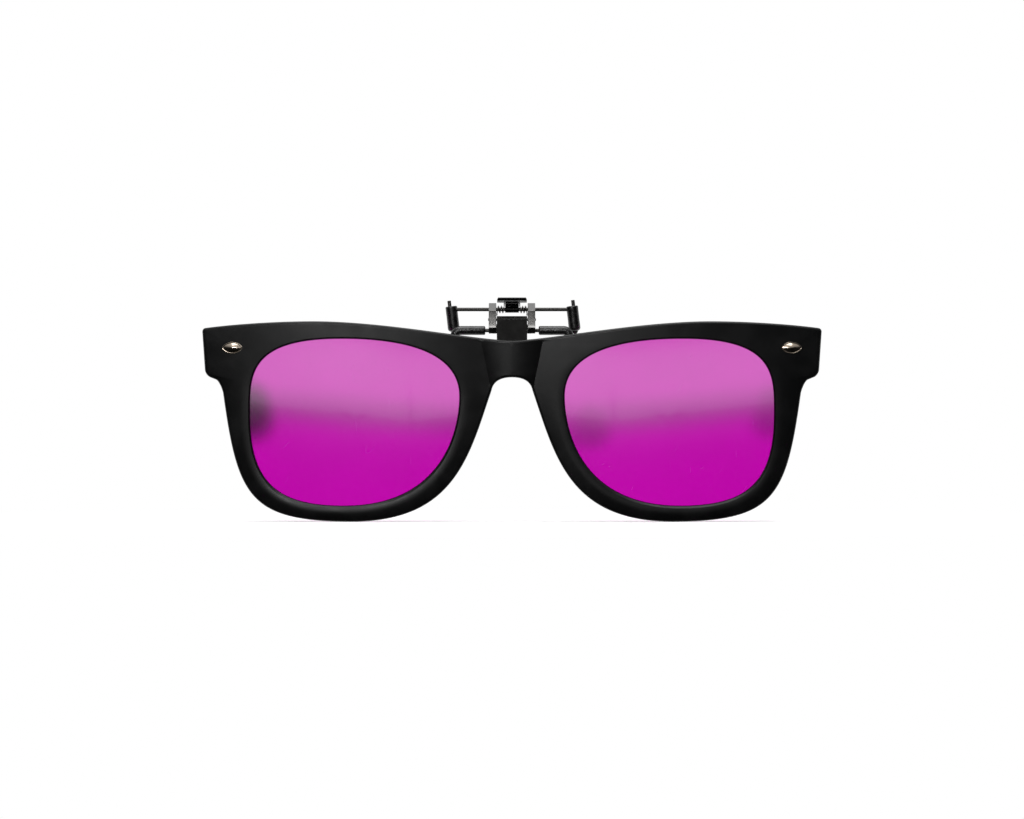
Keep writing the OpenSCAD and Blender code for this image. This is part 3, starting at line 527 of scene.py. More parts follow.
def slab(name, outline, low, high, to_space, edge, segments=3):
    """A flat piece with an outline, from low to high across it, and its corners' edges rounded."""
    corner_angle = math.radians(25)
    work = bmesh.new()
    base = [work.verts.new(to_space(p, low)) for p in outline]
    face = work.faces.new(base)
    rise = bmesh.ops.extrude_face_region(work, geom=[face])
    shift = to_space(outline[0], high) - to_space(outline[0], low)
    bmesh.ops.translate(work, vec=shift, verts=[v for v in rise["geom"] if isinstance(v, bmesh.types.BMVert)])
    bmesh.ops.recalc_face_normals(work, faces=work.faces)
    hard = [e for e in work.edges if e.calc_face_angle(0) > corner_angle]
    bmesh.ops.bevel(work, geom=hard, offset=edge, segments=segments, profile=0.5, affect="EDGES")
    mesh = bpy.data.meshes.new(name)
    work.to_mesh(mesh)
    work.free()
    mesh.shade_smooth()
    mesh.set_sharp_from_angle(angle=FLAT_ANGLE)
    return add_object(name, mesh)


def join(name, pieces):
    """One object out of several shells."""
    work = bmesh.new()
    for piece in pieces:
        work.from_mesh(piece.data)
        bpy.data.objects.remove(piece)
    mesh = bpy.data.meshes.new(name)
    work.to_mesh(mesh)
    work.free()
    return add_object(name, mesh)


def cut(piece, cutter):
    """Takes the cutter's space out of a piece."""
    step = piece.modifiers.new("cut", "BOOLEAN")
    step.operation = "DIFFERENCE"
    step.solver = "EXACT"
    step.object = cutter
    shape = bpy.data.meshes.new_from_object(piece.evaluated_get(bpy.context.evaluated_depsgraph_get()))
    piece.modifiers.clear()
    piece.data = shape
    bpy.data.objects.remove(cutter)
    shape.shade_smooth()
    shape.set_sharp_from_angle(angle=FLAT_ANGLE)


# The moulded front

class FrontShape:
    """Outline, openings and surfaces of the moulded front, for the half at +X."""

    # Stations for each number in a run
    fineness = 3

    # Rows of a section: round its lens groove, and in each rounded edge after the first
    groove_rows = 8
    round_steps = 6

    # Shares of a face's width at which its rows lie
    face_shares = (0.05, 0.13, 0.25, 0.5, 0.75, 0.94)

    def __init__(self):
        s = self.s = sizes("front")
        w, h = s.lens_w, s.lens_h
        self.lens_z = (LENS_BOX[0].z + LENS_BOX[1].z) / 2
        crest_z, low_z = FRONT_BOX[1].z, FRONT_BOX[0].z
        far_x = s.open_x + w
        self.bridge_top_z = crest_z - s.bridge_drop
        self.arch_top_z = self.bridge_top_z - s.bridge_h
        nose = Vector((s.open_x, self.lens_z + 0.155 * h))
        top = Vector((s.open_x + 0.565 * w, self.lens_z + h / 2))
        temple = Vector((far_x, self.lens_z + 0.05 * h))
        bottom = Vector((s.open_x + 0.55 * w, self.lens_z - h / 2))
        self.hub = Vector(((nose.x + temple.x) / 2, self.lens_z))

        # The opening, clockwise from the nose as the front shows it
        self.opening = (
            sweep(nose, UP, 0.313 * h, top, RIGHT, 0.2 * w),
            sweep(top, RIGHT, 0.444 * w, temple, DOWN, 0.228 * h),
            sweep(temple, DOWN, 0.423 * h, bottom, LEFT, 0.311 * w),
            sweep(bottom, LEFT, 0.473 * w, nose, UP, 0.202 * h),
        )

        # Corners of the outline and the ways in which it passes them
        side_x = far_x + s.rim_side
        bridge_top = Vector((0, self.bridge_top_z))
        crest = Vector((s.open_x + 0.7 * w, crest_z))
        end_top = Vector((s.half_w, crest_z - s.end_droop))
        end_low = Vector((s.half_w - 0.07 * s.end_h, end_top.y - s.end_h))
        end_way = Vector((1, -0.13))
        under = Vector((side_x + s.under_w, end_low.y - 0.09 * s.end_h))
        side = Vector((side_x - s.side_in, under.y - s.under_h))
        side_way = Vector((-0.14, -1))
        low_mid = Vector((bottom.x - 0.035 * w, low_z))
        arch = Vector((s.arch_half_w, self.arch_top_z - s.arch_h))
        arch_way = Vector((-0.34, 1))
        arch_turn = Vector((-0.2, 1))
        arch_top = Vector((0, self.arch_top_z))
        down_end = (end_low - end_top).normalized()
        end_top_in = end_top - s.end_corner_r * end_way.normalized()
        end_top_down = end_top + s.end_corner_r * down_end
        end_low_up = end_low - s.end_foot_r * down_end
        end_low_in = end_low + s.end_foot_r * (under - end_low).normalized()
        under_in = under.lerp(side, 0.3) + s.under_h * Vector((-0.16, 0.2))

        # Runs of the outline: curve, number of stations, and where they start and stop on the opening
        self.runs = (
            (sweep(bridge_top, RIGHT, 0.16 * w, crest, RIGHT, 0.35 * w), 18, 0.36, 1.2),
            (sweep(crest, RIGHT, 0.16 * w, end_top_in, end_way, 0.15 * w), 8, 1.2, 1.5),
            (bend(end_top_in, end_top, end_top_down), 3, 1.5, 1.54),
            (straight(end_top_down, end_low_up), 4, 1.54, 1.7),
            (bend(end_low_up, end_low, end_low_in), 3, 1.7, 1.73),
            (straight(end_low_in, under), 1, 1.73, 1.75),
            (bend(under, under_in, side), 4, 1.75, 1.9),
            (sweep(side, side_way, 0.625 * h, low_mid, LEFT, 0.49 * w), 24, 1.9, 3.03),
            (sweep(low_mid, LEFT, 0.493 * w, arch, arch_way, 0.413 * h), 22, 3.03, 3.93),
            (sweep(arch, arch_turn, 0.33 * s.arch_h, arch_top, LEFT, 0.82 * s.arch_half_w), 6, 3.93, 4.17),
            (straight(arch_top, bridge_top), 5, 4.17, 4.36),
        )
        bridge_mid_z = (self.bridge_top_z + self.arch_top_z) / 2
        self.front_y = -s.back_y - s.rim_t - self.dome(self.crease_at(bridge_mid_z), bridge_mid_z)

    def crease_at(self, z):
        """Distance of the crease from the centre plane at a height."""
        return self.s.crease_x - (self.bridge_top_z - z) * math.tan(self.s.crease_lean)

    def dome(self, x, z):
        """How far the face has curved back at a place."""
        s = self.s
        return (x - s.face_x) ** 2 / (2 * s.face_r) + (z - self.lens_z) ** 2 / (2 * s.face_side_r)

    def on_face(self, p, back=0.0):
        """A point on the face, which swells forward between the creases."""
        edge = self.crease_at(p.y)
        swell = self.s.bridge_swell * (1 - (p.x / edge) ** 2) if p.x < edge else 0
        return Vector((p.x, self.front_y + self.dome(max(p.x, edge), p.y) - swell + back, p.y))

    def on_rim(self, p, away, share, out_side, back=0.0):
        """The face with its roll, by the distance from the opening, and its crown, by share of the width."""
        s = self.s
        low = min(1, max(0, 0.6 - 0.6 * out_side.y))
        past = min(1, max(0, (p.x - self.crease_at(p.y)) / s.crease_fade))
        rolled = s.roll_d * max(0, 1 - away / s.roll_w) ** 2
        return self.on_face(p, back + (rolled + s.crown * share ** 2) * low * past ** 2 * (3 - 2 * past))

    def on_back(self, p, forward=0.0):
        """A point on the back of the front."""
        depth = self.dome(max(p.x, self.crease_at(p.y)), p.y) + self.s.rim_t
        return Vector((p.x, self.front_y + depth - forward, p.y))

    def on_lens(self, p, back):
        """A point of the lens, as far behind its face as back says."""
        return Vector((p.x, self.front_y + self.dome(p.x, p.y) + self.s.lens_set + back, p.y))

    def stations(self):
        """Places round the outline: outer point, its outward side, opening point, its outward side."""
        places = []
        mid_run = len(self.runs) - 1
        for index, (curve, steps, start, stop) in enumerate(self.runs):
            steps *= self.fineness if index < mid_run else 1
            for i in range(steps):
                t = i / steps
                at = start + (stop - start) * t
                part = self.opening[math.floor(at) % 4]
                if index < mid_run:
                    side = outward(slope_at(curve, t))
                else:
                    side = DOWN if i == 0 else Vector((0, 0))
                beside = at - math.floor(at)
                opening_side = outward(slope_at(part, beside))
                places.append((curve_at(curve, t), side, curve_at(part, beside), opening_side))
        return places

    def first_mid_station(self):
        """Number of the first station whose outer point lies on the centre plane."""
        return self.fineness * sum(run[1] for run in self.runs[:-1])

    def crease_share(self, inner, outer):
        """Share of the way from opening to outline at which the crease is met."""
        a = inner.x - self.crease_at(inner.y)
        b = outer.x - self.crease_at(outer.y)
        return min(0.97, a / (a - b)) if b < 0 else max(0.4, 0.97 - 100 * b)

    def section(self, station):
        """Points round the rim at one station, each with whether it lies on a hard edge."""
        s = self.s
        outer, out_side, inner, in_side = station
        bed = inner + in_side * s.groove
        grow = 1 + s.bevel_grow * max(0, -in_side.y)
        face_in = inner + in_side * s.bevel_w * grow
        face_out = outer - out_side * s.front_round
        back_in = inner + in_side * s.back_bevel
        back_out = outer - out_side * s.back_round
        at = self.crease_share(face_in, face_out)
        wide = (face_out - face_in).length

        def rim(f, back=0.0, p=None):
            return self.on_rim(p or face_in.lerp(face_out, f), f * wide, f, in_side, back)

        groove = [
            rim(0),
            rim(0, s.bevel_d * grow, inner),
            self.on_lens(inner, 0),
            self.on_lens(bed, 0),
            self.on_lens(bed, s.lens_t),
            self.on_lens(inner, s.lens_t),
            self.on_back(inner, s.back_bevel),
            self.on_back(back_in),
        ]
        rows = [(p, True) for p in groove]
        rows += [(self.on_back(back_in.lerp(back_out, f)), False) for f in self.face_shares]
        for a in quarter(self.round_steps):
            inset = s.back_round * (1 - math.sin(a))
            rows.append((self.on_back(outer - out_side * inset, s.back_round * (1 - math.cos(a))), False))
        for a in quarter(self.round_steps):
            inset = s.front_round * (1 - math.cos(a))
            rows.append((rim(1, s.front_round * (1 - math.sin(a)), outer - out_side * inset), False))
        outside = [at + (1 - at) * f for f in reversed(self.face_shares)]
        inside = [at * f for f in reversed(self.face_shares)]
        on_crease = face_out.x < self.crease_at(face_out.y) and at < 0.97
        rows += [(rim(f), False) for f in outside]
        rows.append((rim(at), on_crease))
        rows += [(rim(f), False) for f in inside]
        return rows

    def wall_rows(self):
        """First and last row of the outer wall, which is left out on the centre plane."""
        first = self.groove_rows + len(self.face_shares)
        return first, first + 2 * self.round_steps + 1


def front_moulding():
    """The rim's sections joined into one skin, without the outer wall on the centre plane."""
    shape = FrontShape()
    sections = [shape.section(station) for station in shape.stations()]
    count, rows = len(sections), len(sections[0])
    mid_first = shape.first_mid_station()
    wall_first, wall_last = shape.wall_rows()
    points, faces, sharp = [], [], []
    for side in (1, -1):
        base = len(points)
        points += mirrored([p for section in sections for p, _ in section], side)
        for k in range(count):
            for j in range(rows):
                if k >= mid_first and wall_first <= j < wall_last:
                    continue
                n, m = (k + 1) % count, (j + 1) % rows
                here, there = base + k * rows, base + n * rows
                quad = (here + j, there + j, there + m, here + m)
                faces.append(quad if side > 0 else quad[::-1])
                if sections[k][j][1] and sections[n][j][1]:
                    sharp.append((here + j, there + j))
    piece = build_mesh("front_moulding", points, faces, sharp)
    work = bmesh.new()
    work.from_mesh(piece.data)
    seam = [v for v in work.verts if abs(v.co.x) < SPECK]
    bmesh.ops.remove_doubles(work, verts=seam, dist=MERGE)
    bmesh.ops.dissolve_degenerate(work, edges=work.edges, dist=SPECK)
    bmesh.ops.recalc_face_normals(work, faces=work.faces)
    work.to_mesh(piece.data)
    work.free()
    return piece


def lens_piece(side):
    """A lens grown into its groove and domed as the face is.

    Its edge attribute marks the border ring that is painted dark as the shade of the rim's groove, and its
    mirror attribute the coated front.
    """
    shape = FrontShape()
    s = shape.s
    stations = shape.stations()
    count = len(stations)
    # The outer rings, as wide as the lens line, are painted dark as the shade of the rim's groove
    inside = [p - n * s.lens_shade_line for _, _, p, n in stations]
    line = [p - n * s.lens_shade_line * 0.7 for _, _, p, n in stations]
    edge = [p + n * GROOVE_HOLD for _, _, p, n in stations]
    steps = 12
    plan = [([shape.hub.lerp(p, k / steps) for p in inside], 0) for k in range(1, steps)]
    plan += [(inside, 0), (line, 1), (edge, 1)]
    rows = [([shape.on_lens(p, 0) for p in ring], mark) for ring, mark in plan]
    rows += [([shape.on_lens(p, s.lens_t) for p in ring], mark) for ring, mark in reversed(plan)]
    points = [p for ring, _ in rows for p in ring]
    points += [shape.on_lens(shape.hub, 0), shape.on_lens(shape.hub, s.lens_t)]
    edge_shade_marks = [float(mark) for ring, mark in rows for _ in ring] + [0.0, 0.0]
    half = len(plan) * count
    coated = [1.0 - mark if i < half else 0.0 for i, mark in enumerate(edge_shade_marks[:-2])] + [1.0, 0.0]
    faces = ring_faces(len(rows), count)
    last = (len(rows) - 1) * count
    for tip, start in ((len(points) - 2, 0), (len(points) - 1, last)):
        faces += [(tip, start + i, start + (i + 1) % count) for i in range(count)]
    piece = build_mesh(sided("tinted_lens", side), mirrored(points, side), faces)
    piece.data.attributes.new("edge", "FLOAT", "POINT").data.foreach_set("value", edge_shade_marks)
    piece.data.attributes.new("mirror", "FLOAT", "POINT").data.foreach_set("value", coated)
    return tidy_mesh(piece, sharp_angle=40)


# Studs

def stud_ring(inset, y, keep=1.0, sides=96):
    """An oval with drawn-out ends, in a plane across Y, inset all round and then scaled."""
    s = sizes("stud")
    ring = []
    for k in range(sides):
        a = 2 * math.pi * k / sides
        rise = math.copysign(abs(math.sin(a)) ** s.point, math.sin(a))
        along, up = (s.width / 2 - inset) * math.cos(a), (s.height / 2 - inset) * rise
        ring.append(Vector((along * keep, y, up * keep)))
    return ring


def stud_piece(side):
    """A polished stud: a thin flat rim, a fine groove, and a low dome that comes to a soft point."""
    s = sizes("stud")
    shape = FrontShape()
    f = shape.s
    x = (STUD_BOX[0].x + STUD_BOX[1].x) / 2
    z = (STUD_BOX[0].z + STUD_BOX[1].z) / 2
    place = (
        Matrix.Translation(shape.on_face(Vector((x, z))))
        @ Matrix.Rotation(math.atan((x - f.face_x) / f.face_r), 4, "Z")
        @ Matrix.Rotation(-math.atan((z - shape.lens_z) / f.face_side_r), 4, "X")
    )
    rim_y = s.seat - s.rim_h
    well, well_y = s.rim + s.groove, rim_y + s.groove
    tip_y = s.seat - s.rise
    e = s.rim_edge
    rings = [stud_ring(0, s.seat)]
    rings += [stud_ring(e * (1 - math.cos(a)), rim_y + e * (1 - math.sin(a))) for a in quarter(4)]
    rings += [stud_ring(s.rim - e * 0.6, rim_y), stud_ring(s.rim, rim_y + e * 0.3)]
    rings.append(stud_ring(well, well_y))
    steps = 18
    roundness = 0.62
    for k in range(1, steps):
        t = k / steps
        lift = roundness * math.sin(math.pi / 2 * t) + (1 - roundness) * t
        rings.append(stud_ring(well, well_y + (tip_y - well_y) * lift, 1 - t))
    sides = len(rings[0])
    points = [p for ring in rings for p in ring] + [Vector((0, tip_y, 0))]
    faces = ring_faces(len(rings), sides)
    last = (len(rings) - 1) * sides
    faces += [tuple(range(sides))]
    faces += [(len(points) - 1, last + i, last + (i + 1) % sides) for i in range(sides)]
    points = mirrored([place @ p for p in points], side)
    return tidy_mesh(build_mesh(sided("oval_stud", side), points, faces), sharp_angle=50)


# Flip plate, pin and screws

def hinge_plate():
    """Sheet with rounded lower corners, rolled over at the top into the knuckle."""
    s = sizes("hinge")
    half = PLATE_BOX[1].x
    low = PLATE_BOX[0].z
    front = PLATE_BOX[0].y
    r = s.corner_r
    outline = [Vector((half, FLIP_Z))]
    outline += arc(Vector((half - r, low + r)), r, 0, -90, 10)
    outline += arc(Vector((-half + r, low + r)), r, -90, -180, 10)
    outline += [Vector((-half, FLIP_Z))]
    sheet = slab("plate_sheet", outline, front, front + s.sheet, across_y, s.sheet_edge)
    middle = Vector((FLIP_Y, FLIP_Z))
    roll = arc(middle, s.knuckle_r, 180, -105, 40) + arc(middle, s.knuckle_r - s.sheet, -105, 180, 32)
    knuckle = slab("plate_knuckle", roll, -half, half, across_x, s.knuckle_edge, segments=2)
    return join("rolled_hinge_plate", [sheet, knuckle])


def hinge_pin():
    """A pin with bevelled ends that stand out of the lugs."""
    s = sizes("hinge")
    reach = BODY_BOX[1].x + s.pin_stand
    edge = s.pin_edge
    profile = [(s.pin_r * 0.4, -reach), (s.pin_r - edge, -reach), (s.pin_r, -reach + edge)]
    return lathe("hinge_pin", both_ends(profile), along_x(FLIP_Y, FLIP_Z))


def cross_screw(name, node):
    """A low domed head with a cross, on a shank that goes into the bridge."""
    s = sizes("hinge")
    low, high = SCREW_BOXES[node]
    middle = (low + high) / 2
    head_y = high.y - s.head_h
    tip = low.y - head_y
    place = Matrix.Translation((0, head_y, middle.z)) @ Matrix.Rotation(-math.pi / 2, 4, "X")
    profile = [(s.shank_r * 0.5, tip), (s.shank_r, tip + s.shank_tip), (s.shank_r, 0), (s.head_r, 0)]
    upright = 0.35
    dome = [(math.cos(a), math.sin(a)) for a in (math.radians(12 * k) for k in range(8))]
    profile += [(s.head_r * c, s.head_h * (upright + (1 - upright) * v)) for c, v in dome]
    profile.append((s.head_flat, s.head_h))
    screw = lathe(name, profile, place)
    corners = [(-1, -1), (1, -1), (1, 1), (-1, 1)]
    reach, half = s.head_r * 0.66, s.slot_w / 2
    floor, above = s.head_h * 0.45, s.head_h * 2
    for turned in (0, math.pi / 2):
        points = [
            place @ Matrix.Rotation(turned, 4, "Z") @ Vector((reach * a, half * b, height))
            for height in (floor, above)
            for a, b in corners
        ]
        faces = [(0, 1, 2, 3), (4, 5, 6, 7), (0, 1, 5, 4), (1, 2, 6, 5), (2, 3, 7, 6), (3, 0, 4, 7)]
        cut(screw, tidy_mesh(build_mesh("slot", points, faces)))
    return screw


# Clamp body

def clamp_body():
    """Two lugs with round eyes, joined by a block behind the flip plate."""
    s = sizes("clamp")
    low = BODY_BOX[0].z
    front = FLIP_Y - s.lug_wall
    back = -s.jaw_gap / 2
    eye = Vector((AXLE_Y, AXLE_Z))
    outline = [
        Vector((front - s.foot_step + s.foot_tuck, low)),
        Vector((front - s.foot_step, s.foot_top)),
        Vector((front, s.foot_top + s.foot_step)),
        Vector((front, s.lug_front_top)),
    ]
    outline += arc(eye, s.eye_r, 112, -55, 24)
    outline += [Vector((back, AXLE_Z - s.eye_r * 1.9)), Vector((back, low))]
    half = BODY_BOX[1].x
    parts = [slab("lug", outline, side * (half - s.lug_t), side * half, across_x, s.edge) for side in SIDES]
    block_front = PLATE_BOX[0].y + sizes("hinge").sheet + s.block_gap
    block = [
        Vector((block_front, low)), Vector((block_front, s.block_top)),
        Vector((back, s.block_top)), Vector((back, low)),
    ]
    inside = half - s.lug_t / 2
    parts.append(slab("block", block, -inside, inside, across_x, s.edge))
    return join("clamp_body", parts)


# Claws and sleeves

def front_bar(start, leg, arc_steps=10):
    """Path along the front claw's bar, from start outward, and down a leg as long as leg says."""
    s = sizes("clamp")
    steps = [
        (s.front_claw_x - s.front_bend_r - start, -math.pi / 2, s.front_bend_r, math.pi / 2),
        (leg - s.front_bend_r, 0, 0, 0),
    ]
    place = Matrix.Translation((start, -s.jaw_gap / 2 - s.front_sleeve_r, s.front_wire_z))
    return follow(steps, place, arc_steps)


def front_claw_wire():
    """One wire with a bar across the body and a leg at each side."""
    s = sizes("clamp")
    half = front_bar(0, s.front_leg - s.sleeve_tip)
    path = mirrored(reversed(half)) + half[1:]
    path, radii = rounded_ends(path, s.wire_r, s.wire_end)
    return tube_mesh("front_claw_wire", path, radii)


def front_sleeve_piece(side):
    """Rubber over one half of the front claw, with its mouth rolled in round the wire."""
    s = sizes("clamp")
    path = front_bar(BODY_BOX[1].x + s.front_sleeve_gap, s.front_leg, arc_steps=14)
    path, radii = rounded_ends(mirrored(path, side), s.front_sleeve_r, s.sleeve_round, bore=s.wire_r * 0.98)
    return tube_mesh(sided("front_sleeve_rubber", side), path, radii, sides=36)


def rear_half(side):
    """Path of one half of the rear wire: the axle, the bend, the hairpin and the free end."""
    s = sizes("clamp")
    bend_angle = math.pi / 2 - side * s.claw_lean
    tangent = s.rear_bend_r * math.tan(bend_angle / 2)
    points = follow(
        [
            (s.rear_claw_x - tangent, -math.pi / 2, s.rear_bend_r, bend_angle),
            (s.hairpin_drop - tangent, math.pi - s.hairpin_twist, s.hairpin_r, math.pi),
            (s.hairpin_drop + s.tip_rise, 0, 0, 0),
        ],
        Matrix.Translation((0, AXLE_Y, AXLE_Z)),
        arc_steps=12,
    )
    return mirrored(points, side)


def rear_claw_wire():
    """One wire: the axle with a hairpin at each end."""
    s = sizes("clamp")
    path = list(reversed(rear_half(-1))) + rear_half(1)[1:]
    path, radii = rounded_ends(path, s.wire_r, s.wire_end)
    return tube_mesh("rear_claw_wire", path, radii)


def rear_sleeve_piece(side):
    """A rubber roll round both legs of a hairpin, with its upper mouth rolled in."""
    s = sizes("clamp")
    middle = s.hairpin_r * Vector((side * math.cos(s.hairpin_twist), math.sin(s.hairpin_twist), 0))
    place = (
        Matrix.Translation((side * s.rear_claw_x, AXLE_Y, AXLE_Z))
        @ Matrix.Rotation(-s.claw_lean, 4, "Y")
        @ Matrix.Translation(middle)
    )
    r, edge, foot = s.rear_sleeve_r, s.sleeve_round, s.sleeve_foot_r
    low, high = -s.rear_sleeve_drop, s.rear_sleeve_rise
    wall = high - low - edge - foot
    mouth = r * 0.62
    steps = 10
    rows = [(r - foot, low + s.foot_bore)]
    rows += [(r - foot + foot * math.sin(a), low + foot * (1 - math.cos(a))) for a in quarter(steps)]
    rows += [
        (r - s.sleeve_waist * math.sin(math.pi * k / steps), low + foot + wall * k / steps)
        for k in range(1, steps)
    ]
    rows += [(r - edge * (1 - math.cos(a)), high - edge * (1 - math.sin(a))) for a in quarter(6)]
    rows += [(mouth, high - edge * 0.35), (mouth, high - s.mouth_bore)]
    return lathe(sided("rear_sleeve_rubber", side), rows, place)


# Thumb lever

def thumb_lever_piece():
    """Sheet bent forward from the barrel into the thumb plate, with a lip at its front."""
    s = sizes("clamp")
    root = Vector((AXLE_Y - s.lever_bend, AXLE_Z + s.lever_rise))
    far = Vector((AXLE_Y - s.lever_reach + s.lever_t, root.y + s.lever_slope))
    tip_y = AXLE_Y - s.lever_reach - s.lever_t
    shoulder_y = AXLE_Y - s.barrel_r - s.gap
    bend_middle = Vector((AXLE_Y - s.lever_bend, root.y - s.lever_bend))
    path = [Vector((AXLE_Y, AXLE_Z + (s.wire_r + s.barrel_r) / 2))]
    path += arc(bend_middle, s.lever_bend, 0, 90, 8)
    plate_steps, lip_steps = 12, 6
    path += [path[-1].lerp(far, k / plate_steps) for k in range(1, plate_steps + 1)]
    lip = far + s.lip_h * Vector((-1.1, 1))
    corner = far + s.lip_h * Vector((-0.9, 0))
    path += [curve_at(bend(far, corner, lip), k / lip_steps) for k in range(1, lip_steps + 1)]
    narrow, wide = s.barrel_w / 2, s.lever_w / 2
    rows = []
    for i, place in enumerate(path):
        before, after = path[max(i - 1, 0)], path[min(i + 1, len(path) - 1)]
        way = (after - before).normalized()
        rows.append((place, Vector((-way.y, way.x)), plan_width(place.x, tip_y, shoulder_y, narrow, wide)))
    half_t = s.lever_t / 2
    edge = s.lever_edge
    rounding = [(half_t - edge, 0), (half_t - edge * ROUND_MID, edge * ROUND_MID), (half_t, edge)]
    points = []
    for place, normal, width in rows:
        for sign_x, sign_t in ((1, 1), (-1, 1), (-1, -1), (1, -1)):
            for rise, inset in rounding if sign_x * sign_t > 0 else reversed(rounding):
                p = place + normal * rise * sign_t
                points.append(across_x(p, sign_x * (width - inset)))
    faces = closed_faces(len(rows), 4 * len(rounding))
    plate = tidy_mesh(build_mesh("lever_plate", points, faces), sharp_angle=40)
    e = s.barrel_edge
    profile = [(s.wire_r, -narrow), (s.barrel_r - e, -narrow), (s.barrel_r, -narrow + e)]
    barrel = lathe("lever_barrel", both_ends(profile), along_x(AXLE_Y, AXLE_Z))
    return join("bent_thumb_lever", [plate, barrel])


def plan_width(y, tip_y, shoulder_y, narrow, wide):
    """Half width of the lever at a depth: narrow at the barrel, wide in front, round at the tip."""
    s = sizes("clamp")
    if y > shoulder_y:
        return narrow
    into = tip_y + s.lever_corner_r - y
    if into <= 0:
        return wide
    into = min(into, s.lever_corner_r)
    return wide - s.lever_corner_r + math.sqrt(max(s.lever_corner_r ** 2 - into ** 2, 0))


# Clamp spring

def spring_path():
    """Points along one wire: leg, coil, middle loop, coil, leg."""
    s, h = sizes("clamp"), sizes("hinge")
    lug_in = BODY_BOX[1].x - s.lug_t
    coil_in = s.barrel_w / 2 + s.gap + s.spring_r
    coil_out = lug_in - s.gap / 2 - s.spring_r
    leg = Vector((FLIP_Y + h.knuckle_r / 2 - AXLE_Y, FLIP_Z + h.knuckle_r + s.spring_r + s.gap - AXLE_Z))
    loop = Vector((-s.loop_reach, s.lever_rise + s.lever_slope * 0.3 - s.lever_t / 2 - s.spring_r - s.gap))
    leg_angle = math.atan2(leg.y, leg.x) + math.acos(s.coil_r / leg.length)
    loop_angle = math.atan2(loop.y, loop.x) - math.acos(s.coil_r / loop.length)
    turns = (loop_angle - leg_angle) % (2 * math.pi) + 4 * math.pi
    leg_root = s.coil_r * Vector((math.cos(leg_angle), math.sin(leg_angle)))
    half = [across_x(leg.lerp(leg_root, t), coil_out) for t in (0, 0.35, 0.7)]
    steps = 72
    for i in range(steps + 1):
        a = leg_angle + turns * i / steps
        x = coil_out + (coil_in - coil_out) * i / steps
        half.append(Vector((x, s.coil_r * math.cos(a), s.coil_r * math.sin(a))))
    b = s.loop_bend
    half += [
        Vector((coil_in - b * (1 - math.cos(a)), loop.x + b * (1 - math.sin(a)), loop.y)) for a in quarter(6)
    ]
    place = Vector((0, AXLE_Y, AXLE_Z))
    return [place + p for p in half + mirrored(reversed(half))]


def spring_piece():
    """The spring's wire with its two ends rounded."""
    s = sizes("clamp")
    path, radii = rounded_ends(spring_path(), s.spring_r, s.spring_end)
    return tube_mesh("torsion_spring", path, radii, sides=14)


# Shader groups

def group_with(name, inputs, outputs):
    """An empty node group with named sockets, and its input and output nodes."""
    group = bpy.data.node_groups.new(name, "ShaderNodeTree")
    for label, kind, default in inputs:
        socket = group.interface.new_socket(label, in_out="INPUT", socket_type=kind)
        socket.default_value = default
    for label, kind in outputs:
        group.interface.new_socket(label, in_out="OUTPUT", socket_type=kind)
    return group, group.nodes.new("NodeGroupInput"), group.nodes.new("NodeGroupOutput")


def feed(tree, socket, value):
    """Gives a socket another socket's value, or a value of its own."""
    if isinstance(value, bpy.types.NodeSocket):
        tree.links.new(value, socket)
    else:
        socket.default_value = value


def math_node(tree, operation, *values):
    """A Math node, fed by sockets or plain numbers."""
    node = tree.nodes.new("ShaderNodeMath")
    node.operation = operation
    for socket, value in zip(node.inputs, values):
        feed(tree, socket, value)
    return node.outputs[0]


def ramp_node(tree, value, low, high, to_low=0.0, to_high=1.0):
    """A smooth step from to_low to to_high as the value goes from low to high."""
    node = tree.nodes.new("ShaderNodeMapRange")
    node.interpolation_type = "SMOOTHSTEP"
    labels = ("Value", "From Min", "From Max", "To Min", "To Max")
    for label, given in zip(labels, (value, low, high, to_low, to_high)):
        feed(tree, node.inputs[label], given)
    return node.outputs[0]


def noise_node(tree, place, scale, detail=2.0, rough=0.5):
    """A noise over the coordinates that place gives."""
    node = tree.nodes.new("ShaderNodeTexNoise")
    for label, given in (("Vector", place), ("Scale", scale), ("Detail", detail), ("Roughness", rough)):
        feed(tree, node.inputs[label], given)
    return node.outputs["Fac"]


def grain_group():
    """Fine moulded or plated grain, and broad handling marks, over the object's own coordinates."""
    group, given, put = group_with(
        "surface_grain",
        [
            ("Grain", "NodeSocketFloat", 9000.0),
            ("Marks", "NodeSocketFloat", 220.0),
            ("Place", "NodeSocketVector", (0, 0, 0)),
        ],
        [("Grain Height", "NodeSocketFloat"), ("Handling", "NodeSocketFloat")],
    )
    place = given.outputs["Place"]
    fine = noise_node(group, place, given.outputs["Grain"], detail=3.0, rough=0.6)
    broad = noise_node(group, place, given.outputs["Marks"], detail=4.0, rough=0.55)
    feed(group, put.inputs["Grain Height"], fine)
    feed(group, put.inputs["Handling"], ramp_node(group, broad, 0.35, 0.7))
    return group


def scratch_group():
    """Hair scratches: short thin lines where a stretched noise crosses its middle value."""
    group, given, put = group_with(
        "hair_scratches",
        [("Place", "NodeSocketVector", (0, 0, 0)), ("Width", "NodeSocketFloat", 0.004)],
        [("Scratches", "NodeSocketFloat")],
    )
    place = given.outputs["Place"]
    scratches = []
    for angle, scale in ((0.5, 170.0), (-0.12, 230.0)):
        stretch = group.nodes.new("ShaderNodeMapping")
        stretch.vector_type = "TEXTURE"
        for label, value in (("Vector", place), ("Rotation", (0, angle, 0)), ("Scale", (1, 1, 6))):
            feed(group, stretch.inputs[label], value)
        line = noise_node(group, stretch.outputs[0], scale, detail=0.0)
        away = math_node(group, "ABSOLUTE", math_node(group, "SUBTRACT", line, 0.5))
        thin = math_node(group, "LESS_THAN", away, given.outputs["Width"])
        here = noise_node(group, place, scale * 1.6, detail=0.0)
        scratches.append(math_node(group, "MULTIPLY", thin, ramp_node(group, here, 0.7, 0.76)))
    feed(group, put.inputs["Scratches"], math_node(group, "MAXIMUM", *scratches))
    return group


